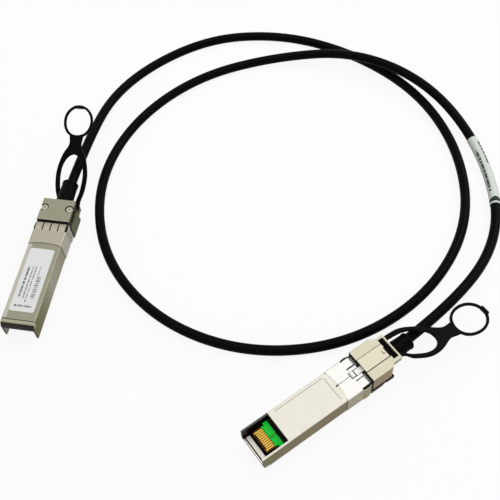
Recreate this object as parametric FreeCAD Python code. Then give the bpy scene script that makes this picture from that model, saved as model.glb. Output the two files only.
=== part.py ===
"""Direct attach copper cable: one twin-axial cable with a small pluggable module on each end.

All lengths are millimetres.  Each plug is drawn in its own frame first: x runs from the nose
towards the cable, y across the plug, z up towards the label side, with z = 0 on the latch side
of the nose.  It is then laid on the table: plug A label side up, plug B turned over.
"""
import FreeCAD, Part
import math
import os
from FreeCAD import Placement, Rotation, Vector

# --- Nose of the module -----------------------------------------------------------------------
BODY_WIDTH = 13.4
BODY_HEIGHT = 8.5
NOSE_LENGTH = 47.6          # from the tip to the front of the backshell
SIDE_WALL = 0.8
ROOF = 1.0
FLOOR = 1.2
EDGE_ROUND = 0.35
LIP_HEIGHT = 5.2            # underside of the front wall
LIP_SKIN = 0.45             # front skin of the double front wall
LIP_GROOVE = 0.5
LIP_RIB = 1.6
LIP_GROOVE_DEPTH = 0.9
LIP_ROUND_LENGTH = 1.25
LIP_ROUND_HEIGHT = 2.3
TIP_LINE_X = 2.25           # fine step across the roof behind the tip
TIP_LINE_WIDTH = 0.35
TIP_LINE_DEPTH = 0.2
WINDOW_LENGTH = 11.2        # open mouth below the card
FIELD_FRONT = 1.6           # shallow field in the floor panel, behind the mouth
FIELD_TO_LATCH = 8.1
FIELD_MARGIN = 0.4
FIELD_DEPTH = 0.12
FIELD_ROUND = 1.2

# --- Backshell --------------------------------------------------------------------------------
SHELL_LENGTH = 10.5         # cover plate, along the plug
SHELL_PROUD = 0.25          # base, sideways beyond the nose
PLATE_PROUD = 0.8           # cover plate above the nose's roof
PLATE_THICK = 1.6
CORE_INSET = 0.5            # part of the cover that sits down inside the base
REAR_INSET = 1.1
REAR_TAPER = 1.8
REAR_LENGTH = 3.4           # low tongue behind the shell that guides the tab
REAR_BRIDGE = 0.55          # cross piece at its end
BASE_DROP = 1.8             # base below the nose's underside
BASE_TOP = 5.4
CORNER_ROUND = 0.4

# --- Cover screws -----------------------------------------------------------------------------
SCREW_BACK = 4.3            # from the rear edge of the plate
SCREW_INSET = 1.5           # from the side of the plate
SCREW_HEAD_RADIUS = 1.4
SCREW_HEAD_HEIGHT = 0.8
SCREW_RADIUS = 0.8
SCREW_DEPTH = 6.5
SCREW_SOCKET = 0.55
COUNTERBORE_GAP = 0.3
COUNTERBORE_DEPTH = 1.0

# --- Shielding collar -------------------------------------------------------------------------
COLLAR_LENGTH = 10.4
COLLAR_SHEET = 0.2
COLLAR_ARCH = 0.9           # how far the front edge is set back in the middle
COLLAR_GAP = 0.9            # to the backshell
FINGER_LENGTH = 3.6
FINGER_BULGE = 0.32
FINGER_SLOT = 0.5
FINGER_PITCH = 3.2
SIDE_FINGER_PITCH = 2.1
BOTTOM_FINGER_WIDTH = 3.5
CORNER_SLOT = 0.35
SEAM_GAP = 0.22

# --- Circuit card -----------------------------------------------------------------------------
CARD_Z = 2.25
CARD_THICK = 1.0
CARD_FRONT = 3.2
CARD_TO_LATCH = 4.9
CARD_STEP = 0.3             # narrower stretch behind the tongue
CARD_STEP_START = 1.0
CARD_STEP_END = 2.8
CARD_STEP_SLOPE = 0.4
CARD_GAP = 0.4              # to the side walls
TONGUE_MARGIN = 0.72        # beyond the outer contacts
TONGUE_END = 7.0
PAD_COUNT = 10
PAD_PITCH = 0.8
PAD_WIDTH = 0.56
PAD_LENGTH = 3.3
PAD_THICK = 0.05
POST_FRONT = 2.4            # behind the mouth
POST_REAR = 2.8             # from the card's rear edge
POST_INSET = 1.7            # from the side walls
POST_RADIUS = 0.85
CAPACITOR_FRONT = 1.2       # behind the mouth
CAPACITOR_ROW_PITCH = 3.6
CAPACITOR_YS = (-1.9, -0.7, 0.7, 1.9)
CAPACITOR_LENGTH = 1.0
CAPACITOR_HALF = 0.25
CAPACITOR_HEIGHT = 0.5
CHIP_TO_CAPACITORS = 4.0
CHIP_LENGTH = 3.0
CHIP_HALF = 2.2
CHIP_HEIGHT = 0.9
CHIP_LIFT = 0.1

# --- Cable, its clamp and its boot -------------------------------------------------------------
CABLE_DIAMETER = 4.0
CABLE_Z = 4.25
PAIR_RADIUS = 0.85
PAIR_Y = 1.05
PAIR_SPREAD = 2.2           # each side of the middle, where the pairs lie on the card
PAIR_BEND = 4.0
PAIR_END = 1.5              # from the card's rear edge
CONDUCTOR_RADIUS = 0.25
CONDUCTOR_SHIFT = 0.45
CONDUCTOR_LENGTH = 3.0
FERRULE_WALL = 0.3
FERRULE_LENGTH = 7.1
FERRULE_START = 1.0         # behind the front of the backshell
RUN_FIT = 0.03              # radial clearance of round pieces that only sit in each other
BOOT_NECK_RADIUS = 3.1
BOOT_FLANGE_RADIUS = 3.7
BOOT_FLANGE_LENGTH = 1.2
BOOT_BODY_RADIUS = 3.55
BOOT_TIP_RADIUS = 3.2
BOOT_LENGTH = 12.0          # outside the backshell
BOOT_FIT = 0.05

# --- Latch and pull ---------------------------------------------------------------------------
LATCH_REACH = 4.7           # in front of the backshell
BOSS_LENGTH = 1.9
BOSS_HEIGHT = 0.45
LEVER_HALF = 1.15
LEVER_THICK = 1.0
LEVER_NOTCH = 0.25
LATCH_GAP = 0.2             # round the lever in its channel
LATCH_CEILING = 2.0
LATCH_BLOCK_FRONT = 2.4     # block over the channel, behind the card
LATCH_BLOCK_ROOF = 0.9
LEAF_CEILING = 1.66         # lower part of the channel, below the cable's ferrule
PIVOT_SETBACK = 7.4         # behind the front of the backshell
PIVOT_Z = 0.5
PIVOT_RADIUS = 0.5
PIVOT_HALF = 3.5
PIVOT_EYE = 0.85
LEAF_THICK = 0.12
LEAF_LENGTH = 6.2
LEAF_TO_PIVOT = 1.4
LEAF_HALF = 0.9
PULL_TRAVEL = 2.0
SLIDE_FIT = 0.08
SLIDER_HALF = 2.95
SLIDER_TONGUE = 0.45        # side tongues that keep the slider in its channel
SLIDER_FACE = 0.1           # below flush with the base
SLIDER_THICK = 0.75
CAM_LENGTH = 1.8
CAM_HEIGHT = 0.7
CAM_START = 0.7
LIFT_PAD_SETBACK = 3.0      # behind the front of the backshell
LIFT_PAD_LENGTH = 1.8
LIFT_PAD_HEIGHT = 0.2
LUG_HALF = 0.65
LUG_LENGTH = 0.7
LUG_SLIT = 0.3
STOP_LENGTH = 0.45          # small stop on one corner of the slider
STOP_WIDTH = 1.7

# --- Pull tab ---------------------------------------------------------------------------------
TAB_THICK = 1.2
TAB_Z = -0.7                # its face on the latch side
TAB_INSET = 0.6             # from the side of the rear tongue
TAB_BAR = 4.3
ARM_WIDTH = 1.9
TAB_BEND_RADIUS = 2.4
LOOP_BAND = 1.05
WAIST_HALF = 2.6
NUB_WIDTH = 3.8
NUB_HEIGHT = 1.1
TAB_EDGE = 0.28
TAB_ARC_FIT = 0.02

# --- How each tab is flexed: rise and sway of the strap, size of eye and finger loop ------------
TAB_FLEX = {
    "plug_a": {"rise": 28.0, "sway": 0.6, "eye": 20.3, "bow": 6.7, "waist": 7.3, "loop": (13.8, 12.6)},
    "plug_b": {"rise": 5.5, "sway": 7.2, "eye": 15.0, "bow": 7.2, "waist": 8.4, "loop": (15.0, 13.4)},
}

# --- Label on plug A --------------------------------------------------------------------------
LABEL_START = 6.0
LABEL_TO_COLLAR = 2.0
LABEL_INSET = 1.75          # from the sides of the nose
LABEL_THICK = 0.1
LABEL_ROUND = 0.9

# --- Where the plugs lie ----------------------------------------------------------------------
PLUG_A_NOSE = (-82.7, -31.6)
PLUG_A_HEADING = 90.0
PLUG_B_NOSE = (11.8, -64.1)
PLUG_B_HEADING = 45.0

# --- Route of the cable between the two clamps, centre line --------------------------------------
CABLE_ROUTE = [
    (-82.7, 58.9, 6.05),
    (-77.7, 100.4, 2.0),
    (-46.2, 132.9, 2.0),
    (-9.2, 140.9, 2.0),
    (26.8, 131.9, 2.0),
    (57.8, 110.9, 2.0),
    (76.8, 78.9, 2.0),
    (81.8, 41.9, 2.0),
    (67.8, 6.9, 2.0),
    (39.8, -18.1, 2.0),
    (2.8, -27.1, 2.0),
    (-33.2, -18.1, 2.0),
    (-61.2, 6.9, 2.0),
    (-73.2, 42.9, 2.0),
    (-66.2, 78.9, 2.0),
    (-43.2, 108.9, 2.0),
    (-9.2, 125.9, 2.0),
    (27.8, 127.9, 10.0),
    (61.8, 111.9, 10.0),
    (85.8, 81.9, 2.0),
    (95.3, 39.9, 2.0),
    (75.6, -0.3, 5.05),
]
WRAP_START = 750.0          # label wrapped round the cable, along its length
WRAP_LENGTH = 38.0
WRAP_SHEET = 0.15

# --- Worked out from the above ----------------------------------------------------------------
BODY_HALF = BODY_WIDTH / 2
INNER_HALF = BODY_HALF - SIDE_WALL
SHELL_HALF = BODY_HALF + SHELL_PROUD
PLATE_HALF = BODY_HALF
CORE_HALF = BODY_HALF - CORE_INSET
REAR_HALF = BODY_HALF - REAR_INSET
SCREW_Y = BODY_HALF - SCREW_INSET
TAB_HALF = REAR_HALF - TAB_INSET
CABLE_RADIUS = CABLE_DIAMETER / 2
PLATE_TOP = BODY_HEIGHT + PLATE_PROUD
PLATE_REAR = NOSE_LENGTH + SHELL_LENGTH
PLATE_BOTTOM = PLATE_TOP - PLATE_THICK
SHELL_REAR = PLATE_REAR + REAR_LENGTH
SCREW_X = PLATE_REAR - SCREW_BACK
COUNTERBORE_RADIUS = SCREW_HEAD_RADIUS + COUNTERBORE_GAP
LATCH_FRONT = NOSE_LENGTH - LATCH_REACH
PIVOT_X = NOSE_LENGTH + PIVOT_SETBACK
LEAF_REAR = PIVOT_X - LEAF_TO_PIVOT
LEAF_FRONT = LEAF_REAR - LEAF_LENGTH
LIFT_PAD_START = NOSE_LENGTH + LIFT_PAD_SETBACK
FIELD_START = WINDOW_LENGTH + FIELD_FRONT
FIELD_END = LATCH_FRONT - FIELD_TO_LATCH
CARD_TOP = CARD_Z + CARD_THICK
CARD_HALF = INNER_HALF - CARD_GAP
CARD_REAR = LATCH_FRONT - CARD_TO_LATCH
TONGUE_HALF = (PAD_COUNT - 1) / 2 * PAD_PITCH + PAD_WIDTH / 2 + TONGUE_MARGIN
POST_XS = (WINDOW_LENGTH + POST_FRONT, CARD_REAR - POST_REAR)
POST_Y = INNER_HALF - POST_INSET
CAPACITOR_X = WINDOW_LENGTH + CAPACITOR_FRONT
CHIP_X = CAPACITOR_X + CAPACITOR_ROW_PITCH + CHIP_TO_CAPACITORS
FERRULE_X = NOSE_LENGTH + FERRULE_START
FERRULE_RADIUS = CABLE_RADIUS + RUN_FIT + FERRULE_WALL
CABLE_X = FERRULE_X - 0.4
FLANGE_X = FERRULE_X + FERRULE_LENGTH + 0.4
COLLAR_REAR = NOSE_LENGTH - COLLAR_GAP
COLLAR_FRONT = COLLAR_REAR - COLLAR_LENGTH
LABEL_END = COLLAR_FRONT - LABEL_TO_COLLAR
LABEL_HALF = BODY_HALF - LABEL_INSET
SLIDER_BOTTOM = SLIDER_FACE - BASE_DROP
SLIDER_TOP = SLIDER_BOTTOM + SLIDER_THICK
SLIDER_REAR = PLATE_REAR + 0.2
CHANNEL_TOP = SLIDER_TOP + SLIDE_FIT
CHANNEL_REAR = SHELL_REAR - REAR_BRIDGE
LEVER_CHANNEL_HALF = LEVER_HALF + LATCH_GAP
TAB_TOP = TAB_Z + TAB_THICK
TAB_FRONT = SLIDER_REAR - LUG_LENGTH - 0.6
TONGUE_TOP = TAB_TOP + LATCH_GAP


def box(x0, x1, y0, y1, z0, z1):
    return Part.makeBox(x1 - x0, y1 - y0, z1 - z0, Vector(x0, y0, z0))


def slab(x0, x1, half, z0, z1):
    """A block that is symmetric about the plug's middle plane."""
    return box(x0, x1, -half, half, z0, z1)


def rod(x, y, z, direction, radius, length):
    return Part.makeCylinder(radius, length, Vector(x, y, z), Vector(*direction))


def face_of(points):
    return Part.Face(Part.makePolygon(points + [points[0]]))


def side_profile(points, half):
    """Extrude an outline drawn in x and z across the plug."""
    face = face_of([Vector(x, -half, z) for x, z in points])
    return face.extrude(Vector(0, 2 * half, 0))


def plan_profile(points, z0, z1):
    """Extrude an outline drawn in x and y upwards."""
    face = face_of([Vector(x, y, z0) for x, y in points])
    return face.extrude(Vector(0, 0, z1 - z0))


def mirrored(points):
    """Close a half outline with its mirror image in y."""
    return points + [(x, -y) for x, y in reversed(points)]


def turned(points, x_axis=(1, 0, 0), z=CABLE_Z):
    """Revolve (x, radius) points round the cable's axis."""
    outline = [Vector(x, 0, z + r) for x, r in points]
    return face_of(outline).revolve(Vector(0, 0, z), Vector(*x_axis), 360)


def edges_along_x(shape, y, z, reach=0.01):
    """Straight edges that run along x at the given place."""
    found = []
    for edge in shape.Edges:
        extent = edge.BoundBox
        straight = extent.YLength < reach and extent.ZLength < reach
        if straight and abs(abs(extent.Center.y) - y) < reach and abs(extent.Center.z - z) < reach:
            found.append(edge)
    return found


def upright_edges(shape, height):
    return [e for e in shape.Edges if e.BoundBox.ZLength > height * 0.99
            and e.BoundBox.XLength < 0.01 and e.BoundBox.YLength < 0.01]


def fused(shapes):
    return shapes[0].fuse(shapes[1:]).removeSplitter() if len(shapes) > 1 else shapes[0]


# --- Route of a cord: straight runs joined by tangent arcs ---------------------------------------
def cord_edges(points):
    """Edges of a cord's centre line and the arc radii, arcs as large as their runs allow."""
    points = [Vector(*p) for p in points]
    edges = []
    radii = []
    here = points[0]
    for before, corner, after in zip(points, points[1:], points[2:]):
        run_in = before - corner
        run_out = after - corner
        reach = 0.45 * min(run_in.Length, run_out.Length)
        turn = math.pi - run_in.getAngle(run_out)
        run_in.normalize()
        run_out.normalize()
        start = corner + run_in * reach
        end = corner + run_out * reach
        radius = reach / math.tan(turn / 2)
        sagitta = radius * (1 / math.cos(turn / 2) - 1)
        inward = run_in + run_out
        inward.normalize()
        edges.append(Part.LineSegment(here, start).toShape())
        edges.append(Part.Arc(start, corner + inward * sagitta, end).toShape())
        radii.append(radius)
        here = end
    edges.append(Part.LineSegment(here, points[-1]).toShape())
    return edges, radii


def trimmed(edges, start, length):
    """The stretch of a chain of edges between two distances from its beginning."""
    kept = []
    position = 0.0
    for edge in edges:
        low = max(start - position, 0.0)
        high = min(start + length - position, edge.Length)
        if high > low:
            first = edge.getParameterByLength(low)
            last = edge.getParameterByLength(high)
            kept.append(edge.Curve.toShape(first, last))
        position += edge.Length
    return kept


def swept(edges, radius, bore=0.0):
    """Sweep a round section, hollow if it has a bore, along a chain of edges."""
    path = Part.Wire(edges)
    start = path.Edges[0].valueAt(path.Edges[0].FirstParameter)
    along = path.Edges[0].tangentAt(path.Edges[0].FirstParameter)
    solid = path.makePipe(Part.Face(Part.Wire(Part.makeCircle(radius, start, along))))
    if bore:
        hole = path.makePipe(Part.Face(Part.Wire(Part.makeCircle(bore, start, along))))
        solid = solid.cut(hole)
    return solid


# --- The plug's pieces ------------------------------------------------------------------------
def core_outline():
    return mirrored([(NOSE_LENGTH, CORE_HALF), (PLATE_REAR - REAR_TAPER, CORE_HALF),
                     (PLATE_REAR, REAR_HALF - 0.4)])


def clamp_bores():
    """Space for the ferrule, the boot's flange and the boot's neck."""
    ferrule = rod(NOSE_LENGTH - 1, 0, CABLE_Z, (1, 0, 0), FERRULE_RADIUS + RUN_FIT,
                  FLANGE_X - NOSE_LENGTH + 1)
    flange = rod(FLANGE_X - BOOT_FIT, 0, CABLE_Z, (1, 0, 0), BOOT_FLANGE_RADIUS + BOOT_FIT,
                 BOOT_FLANGE_LENGTH + 2 * BOOT_FIT)
    neck = rod(FLANGE_X, 0, CABLE_Z, (1, 0, 0), BOOT_NECK_RADIUS + BOOT_FIT,
               PLATE_REAR - FLANGE_X + 1)
    return ferrule.fuse([flange, neck])


def front_arc():
    """Rounded front edge of the roof, as a curve between wall and roof."""
    low = Vector(0, -BODY_HALF, BODY_HEIGHT - LIP_ROUND_HEIGHT)
    high = Vector(LIP_ROUND_LENGTH, -BODY_HALF, BODY_HEIGHT)
    middle = (low + high) * 0.5 + Vector(-0.17, 0, 0.1)
    return Part.Arc(low, middle, high).toShape()


def cover():
    """Upper half of the casing: channel-shaped nose with a double front wall, and cover plate."""
    arc = front_arc()
    low = arc.valueAt(arc.FirstParameter)
    high = arc.valueAt(arc.LastParameter)
    corners = [high, Vector(NOSE_LENGTH, -BODY_HALF, BODY_HEIGHT),
               Vector(NOSE_LENGTH, -BODY_HALF, 0), Vector(0, -BODY_HALF, 0), low]
    outline = Part.Wire([arc] + Part.makePolygon(corners).Edges)
    nose = Part.Face(outline).extrude(Vector(0, BODY_WIDTH, 0))
    nose = nose.makeFillet(EDGE_ROUND, edges_along_x(nose, BODY_HALF, BODY_HEIGHT)
                           + edges_along_x(nose, BODY_HALF, 0))
    groove_x = LIP_SKIN + LIP_GROOVE
    hollow = side_profile([(-1, -1), (-1, LIP_HEIGHT), (LIP_SKIN, LIP_HEIGHT),
                           (LIP_SKIN, LIP_HEIGHT + LIP_GROOVE_DEPTH),
                           (groove_x, LIP_HEIGHT + LIP_GROOVE_DEPTH), (groove_x, LIP_HEIGHT),
                           (groove_x + LIP_RIB, LIP_HEIGHT),
                           (groove_x + LIP_RIB, BODY_HEIGHT - ROOF),
                           (NOSE_LENGTH, BODY_HEIGHT - ROOF), (NOSE_LENGTH, -1)], INNER_HALF)
    nose = nose.cut(hollow)
    tip_line = slab(TIP_LINE_X, TIP_LINE_X + TIP_LINE_WIDTH, BODY_WIDTH,
                    BODY_HEIGHT - TIP_LINE_DEPTH, BODY_HEIGHT + 1)
    nose = nose.cut(tip_line)
    posts = [rod(x, y, CARD_TOP, (0, 0, 1), POST_RADIUS, BODY_HEIGHT - ROOF - CARD_TOP)
             for x in POST_XS for y in (-POST_Y, POST_Y)]
    plate = slab(NOSE_LENGTH, PLATE_REAR, PLATE_HALF, PLATE_BOTTOM, PLATE_TOP)
    plate = plate.makeFillet(EDGE_ROUND / 2, edges_along_x(plate, PLATE_HALF, PLATE_TOP))
    core = plan_profile(core_outline(), CABLE_Z, PLATE_BOTTOM)
    body = fused([nose, plate, core] + posts).cut(clamp_bores())
    for y in (-SCREW_Y, SCREW_Y):
        body = body.cut([
            rod(SCREW_X, y, CABLE_Z - 1, (0, 0, 1), SCREW_RADIUS + 2 * RUN_FIT, BODY_HEIGHT),
            rod(SCREW_X, y, PLATE_TOP - COUNTERBORE_DEPTH, (0, 0, 1), COUNTERBORE_RADIUS,
                2 * COUNTERBORE_DEPTH)])
    return body


def base():
    """Lower half: floor panel of the nose and the backshell that houses the latch and pull."""
    floor = slab(WINDOW_LENGTH, NOSE_LENGTH, INNER_HALF, 0, FLOOR)
    field = slab(FIELD_START, FIELD_END, INNER_HALF - FIELD_MARGIN, -1, FIELD_DEPTH)
    field = field.makeFillet(FIELD_ROUND, upright_edges(field, 1 + FIELD_DEPTH))
    floor = floor.cut(field)
    posts = [rod(x, y, FLOOR, (0, 0, 1), POST_RADIUS, CARD_Z - FLOOR)
             for x in POST_XS for y in (-POST_Y, POST_Y)]
    latch_block = slab(CARD_REAR + LATCH_BLOCK_FRONT, NOSE_LENGTH, INNER_HALF, FLOOR,
                       LATCH_CEILING + LATCH_BLOCK_ROOF)
    shell_outline = mirrored([(NOSE_LENGTH, SHELL_HALF), (PLATE_REAR - REAR_TAPER, SHELL_HALF),
                              (PLATE_REAR, REAR_HALF)])
    shell = plan_profile(shell_outline, -BASE_DROP, BASE_TOP)
    rear_tongue = slab(PLATE_REAR, SHELL_REAR, REAR_HALF, -BASE_DROP, TONGUE_TOP)
    shell = shell.makeChamfer(CORNER_ROUND / 2, edges_along_x(shell, SHELL_HALF, -BASE_DROP))
    shell = shell.cut(plan_profile(core_outline(), CABLE_Z, BASE_TOP + 1))
    body = fused([floor, latch_block, shell, rear_tongue] + posts).cut(clamp_bores())

    tongue_half = SLIDER_HALF + SLIDER_TONGUE + SLIDE_FIT
    tongue_floor = SLIDER_TOP - SLIDER_THICK / 2 - SLIDE_FIT
    lever_room = LEVER_CHANNEL_HALF
    tab_room = TAB_HALF + 2 * SLIDE_FIT
    cuts = [
        slab(NOSE_LENGTH - 1, CHANNEL_REAR, SLIDER_HALF + SLIDE_FIT, -BASE_DROP - 1, CHANNEL_TOP),
        slab(NOSE_LENGTH - 1, CHANNEL_REAR, tongue_half, tongue_floor, CHANNEL_TOP),
        slab(TAB_FRONT - LATCH_GAP, SHELL_REAR + 1, tab_room, CHANNEL_TOP - 0.02, TONGUE_TOP),
        slab(SLIDER_REAR + 0.4, CHANNEL_REAR, TAB_HALF - 0.5, -BASE_DROP - 1, CHANNEL_TOP),
        slab(LATCH_FRONT - 2 * LATCH_GAP, FERRULE_X - 0.6, lever_room, -BASE_DROP - 1, LATCH_CEILING),
        slab(FERRULE_X - 0.7, PIVOT_X + PIVOT_EYE + 0.4, lever_room, -BASE_DROP - 1, LEAF_CEILING),
        rod(PIVOT_X, -PIVOT_HALF, PIVOT_Z, (0, 1, 0), PIVOT_RADIUS + RUN_FIT, 2 * PIVOT_HALF),
    ]
    for y in (-SCREW_Y, SCREW_Y):
        cuts.append(rod(SCREW_X, y, PLATE_TOP - COUNTERBORE_DEPTH - SCREW_DEPTH - 0.3,
                        (0, 0, 1), SCREW_RADIUS + RUN_FIT, SCREW_DEPTH))
    return body.cut(cuts)


def emi_collar():
    """Sprung shielding collar: one sheet folded round the nose, butted below, with fingers."""
    front = COLLAR_FRONT
    rear = COLLAR_REAR
    crease = rear - FINGER_LENGTH

    def sleeve(x0, x1, grow):
        bar = box(x0, x1, -BODY_HALF - grow, BODY_HALF + grow, -grow, BODY_HEIGHT + grow)
        round_edges = [e for e in bar.Edges if e.BoundBox.XLength > (x1 - x0) * 0.99]
        return bar.makeFillet(EDGE_ROUND + grow, round_edges)

    body_bar = sleeve(front - 1, rear + 1, 0)
    band = sleeve(front, crease, COLLAR_SHEET).cut(body_bar)
    arch_points = [Vector(front, -BODY_HALF, 0), Vector(front + COLLAR_ARCH, 0, 0),
                   Vector(front, BODY_HALF, 0)]
    arch = Part.Arc(*arch_points).toShape()
    chord = Part.makeLine(arch_points[2], arch_points[0])
    arch_face = Part.Face(Part.Wire([arch, chord]))
    arch_face.translate(Vector(0, 0, -1))
    band = band.cut(arch_face.extrude(Vector(0, 0, BODY_HEIGHT + 2)))

    def bulged(half):
        """A strip of sprung sheet in profile: lifts off at the crease and returns at its end."""
        middle = (crease + rear) / 2
        low = Part.Arc(Vector(crease, -half, 0), Vector(middle, -half, FINGER_BULGE),
                       Vector(rear, -half, 0)).toShape()
        high = Part.Arc(Vector(crease, -half, COLLAR_SHEET),
                        Vector(middle, -half, COLLAR_SHEET + FINGER_BULGE),
                        Vector(rear, -half, COLLAR_SHEET)).toShape()
        ends = [Part.makeLine(Vector(x, -half, 0), Vector(x, -half, COLLAR_SHEET))
                for x in (crease, rear)]
        wire = Part.Wire(Part.sortEdges([low, high] + ends)[0])
        return Part.Face(wire).extrude(Vector(0, 2 * half, 0))

    corner = EDGE_ROUND + COLLAR_SHEET
    top_half = BODY_HALF - corner / 2
    side_half = BODY_HEIGHT / 2 - corner / 2
    top = bulged(top_half)
    top.translate(Vector(0, 0, BODY_HEIGHT))
    bottom = bulged(top_half)
    bottom.rotate(Vector(0, 0, 0), Vector(1, 0, 0), 180)
    sides = []
    for turn in (-90, 90):
        side = bulged(side_half)
        side.rotate(Vector(0, 0, 0), Vector(1, 0, 0), turn)
        side.translate(Vector(0, math.copysign(BODY_HALF, -turn), BODY_HEIGHT / 2))
        sides.append(side)
    reach = COLLAR_SHEET + FINGER_BULGE + 1
    slots = []
    count = int(BODY_HALF // FINGER_PITCH)
    for k in range(-count, count + 1):
        y = k * FINGER_PITCH
        slots.append(box(crease, rear + 1, y - FINGER_SLOT / 2, y + FINGER_SLOT / 2,
                         BODY_HEIGHT - 0.5, BODY_HEIGHT + reach))
    for k in (-1, 0, 1):
        z = BODY_HEIGHT / 2 + k * SIDE_FINGER_PITCH
        slots.append(slab(crease, rear + 1, BODY_HALF + reach, z - FINGER_SLOT / 2,
                          z + FINGER_SLOT / 2))
    middle_half = top_half - BOTTOM_FINGER_WIDTH
    slots.append(slab(crease, rear + 1, middle_half, -reach, 0.5))
    corner_half = top_half - CORNER_SLOT
    for y in (-top_half, corner_half):
        slots.append(box(crease, rear + 1, y, y + CORNER_SLOT, -reach, 0.5))
    strips = [top.cut(slots), bottom.cut(slots)] + [side.cut(slots) for side in sides]
    floor_strip = slab(crease - 0.5, rear, middle_half - FINGER_SLOT, -COLLAR_SHEET, 0)
    latch_hole = slab(LATCH_FRONT - 2 * LATCH_GAP, rear + 1, LEVER_CHANNEL_HALF, -1, 0.1)
    seam = slab(front - 1, LATCH_FRONT, SEAM_GAP / 2, -1, 0.1)
    collar = fused([band, floor_strip] + strips).cut([latch_hole, seam])
    return Part.makeCompound(collar.Solids) if len(collar.Solids) > 1 else collar


def circuit_card():
    """Card with a narrow edge tongue that plugs into the host's connector."""
    half = [(CARD_FRONT, TONGUE_HALF - 0.4), (CARD_FRONT + 0.4, TONGUE_HALF),
            (TONGUE_END, TONGUE_HALF), (TONGUE_END + 0.4, TONGUE_HALF - 0.35),
            (TONGUE_END + 0.9, TONGUE_HALF - 0.35),
            (TONGUE_END + CARD_STEP_START, CARD_HALF - CARD_STEP),
            (TONGUE_END + CARD_STEP_END, CARD_HALF - CARD_STEP),
            (TONGUE_END + CARD_STEP_END + CARD_STEP_SLOPE, CARD_HALF), (CARD_REAR, CARD_HALF)]
    return plan_profile(mirrored(half), CARD_Z, CARD_TOP)


def edge_contacts():
    """Gold contacts on both faces of the tongue, the outer ones longer."""
    pads = []
    for k in range(PAD_COUNT):
        y = (k - (PAD_COUNT - 1) / 2) * PAD_PITCH
        front = CARD_FRONT + (0.2 if k in (0, PAD_COUNT - 1) else 0.6)
        for z in (CARD_Z - PAD_THICK, CARD_TOP):
            pads.append(box(front, CARD_FRONT + 0.2 + PAD_LENGTH, y - PAD_WIDTH / 2,
                            y + PAD_WIDTH / 2, z, z + PAD_THICK))
    return Part.makeCompound(pads)


def memory_chip():
    """Eight-lead identification memory on the card."""
    body = slab(CHIP_X, CHIP_X + CHIP_LENGTH, CHIP_HALF, CARD_TOP + CHIP_LIFT,
                CARD_TOP + CHIP_LIFT + CHIP_HEIGHT)
    leads = []
    lead = [(0, 0.5), (0.35, 0.5), (0.55, 0.12), (1.0, 0.12), (1.0, 0), (0.45, 0), (0.25, 0.38),
            (0, 0.38)]
    for k in range(4):
        at = CHIP_X + 0.5 + k * 0.65
        for side in (-1, 1):
            face = face_of([Vector(at, side * (CHIP_HALF + y), CARD_TOP + z) for y, z in lead])
            leads.append(face.extrude(Vector(0.3, 0, 0)))
    return fused([body] + leads)


def capacitors():
    """Coupling capacitors between the contacts and the wires."""
    chips = []
    for x in (CAPACITOR_X, CAPACITOR_X + CAPACITOR_ROW_PITCH):
        for y in CAPACITOR_YS:
            chips.append(box(x, x + CAPACITOR_LENGTH, y - CAPACITOR_HALF, y + CAPACITOR_HALF,
                             CARD_TOP, CARD_TOP + CAPACITOR_HEIGHT))
    return Part.makeCompound(chips)


def wire_pairs():
    """Two shielded pairs from the cable's end to the card, with their four bare conductors."""
    lead_z = CARD_TOP + PAIR_RADIUS
    pieces = []
    for side in (-1, 1):
        spread = side * PAIR_SPREAD
        route = [(CABLE_X, side * PAIR_Y, CABLE_Z), (CABLE_X - PAIR_BEND, side * PAIR_Y, CABLE_Z),
                 (CABLE_X - 2 * PAIR_BEND, spread, lead_z), (CARD_REAR - PAIR_END, spread, lead_z)]
        edges, _ = cord_edges(route)
        pieces.append(swept(edges, PAIR_RADIUS))
        for shift in (-CONDUCTOR_SHIFT, CONDUCTOR_SHIFT):
            pieces.append(rod(CARD_REAR - PAIR_END - CONDUCTOR_LENGTH, spread + shift,
                              CARD_TOP + CONDUCTOR_RADIUS, (1, 0, 0), CONDUCTOR_RADIUS,
                              CONDUCTOR_LENGTH))
    return Part.makeCompound(pieces)


def crimp_ferrule():
    """Metal sleeve crimped on the cable's braid in two bands."""
    inner = CABLE_RADIUS + RUN_FIT
    outer = FERRULE_RADIUS
    band = outer - 0.15
    x = FERRULE_X
    profile = [(x, inner), (x, outer)]
    for start in (0.2, 0.6):
        at = x + start * FERRULE_LENGTH
        profile += [(at, outer), (at + 0.2, band), (at + 1.4, band), (at + 1.6, outer)]
    end = x + FERRULE_LENGTH
    profile += [(end, outer), (end, inner)]
    return turned(profile)


def boot():
    """Moulded strain relief, held by its flange between base and cover."""
    bore = CABLE_RADIUS + BOOT_FIT
    flange_end = FLANGE_X + BOOT_FLANGE_LENGTH
    body = PLATE_REAR + 0.1
    tip = PLATE_REAR + BOOT_LENGTH
    return turned([(FLANGE_X, bore), (FLANGE_X, BOOT_FLANGE_RADIUS),
                   (flange_end, BOOT_FLANGE_RADIUS), (flange_end, BOOT_NECK_RADIUS),
                   (body, BOOT_NECK_RADIUS), (body, BOOT_BODY_RADIUS),
                   (tip - 1.4, BOOT_TIP_RADIUS), (tip - 1.2, BOOT_TIP_RADIUS + 0.15),
                   (tip - 0.4, BOOT_TIP_RADIUS + 0.15), (tip, BOOT_TIP_RADIUS - 0.25),
                   (tip, bore)])


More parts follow.
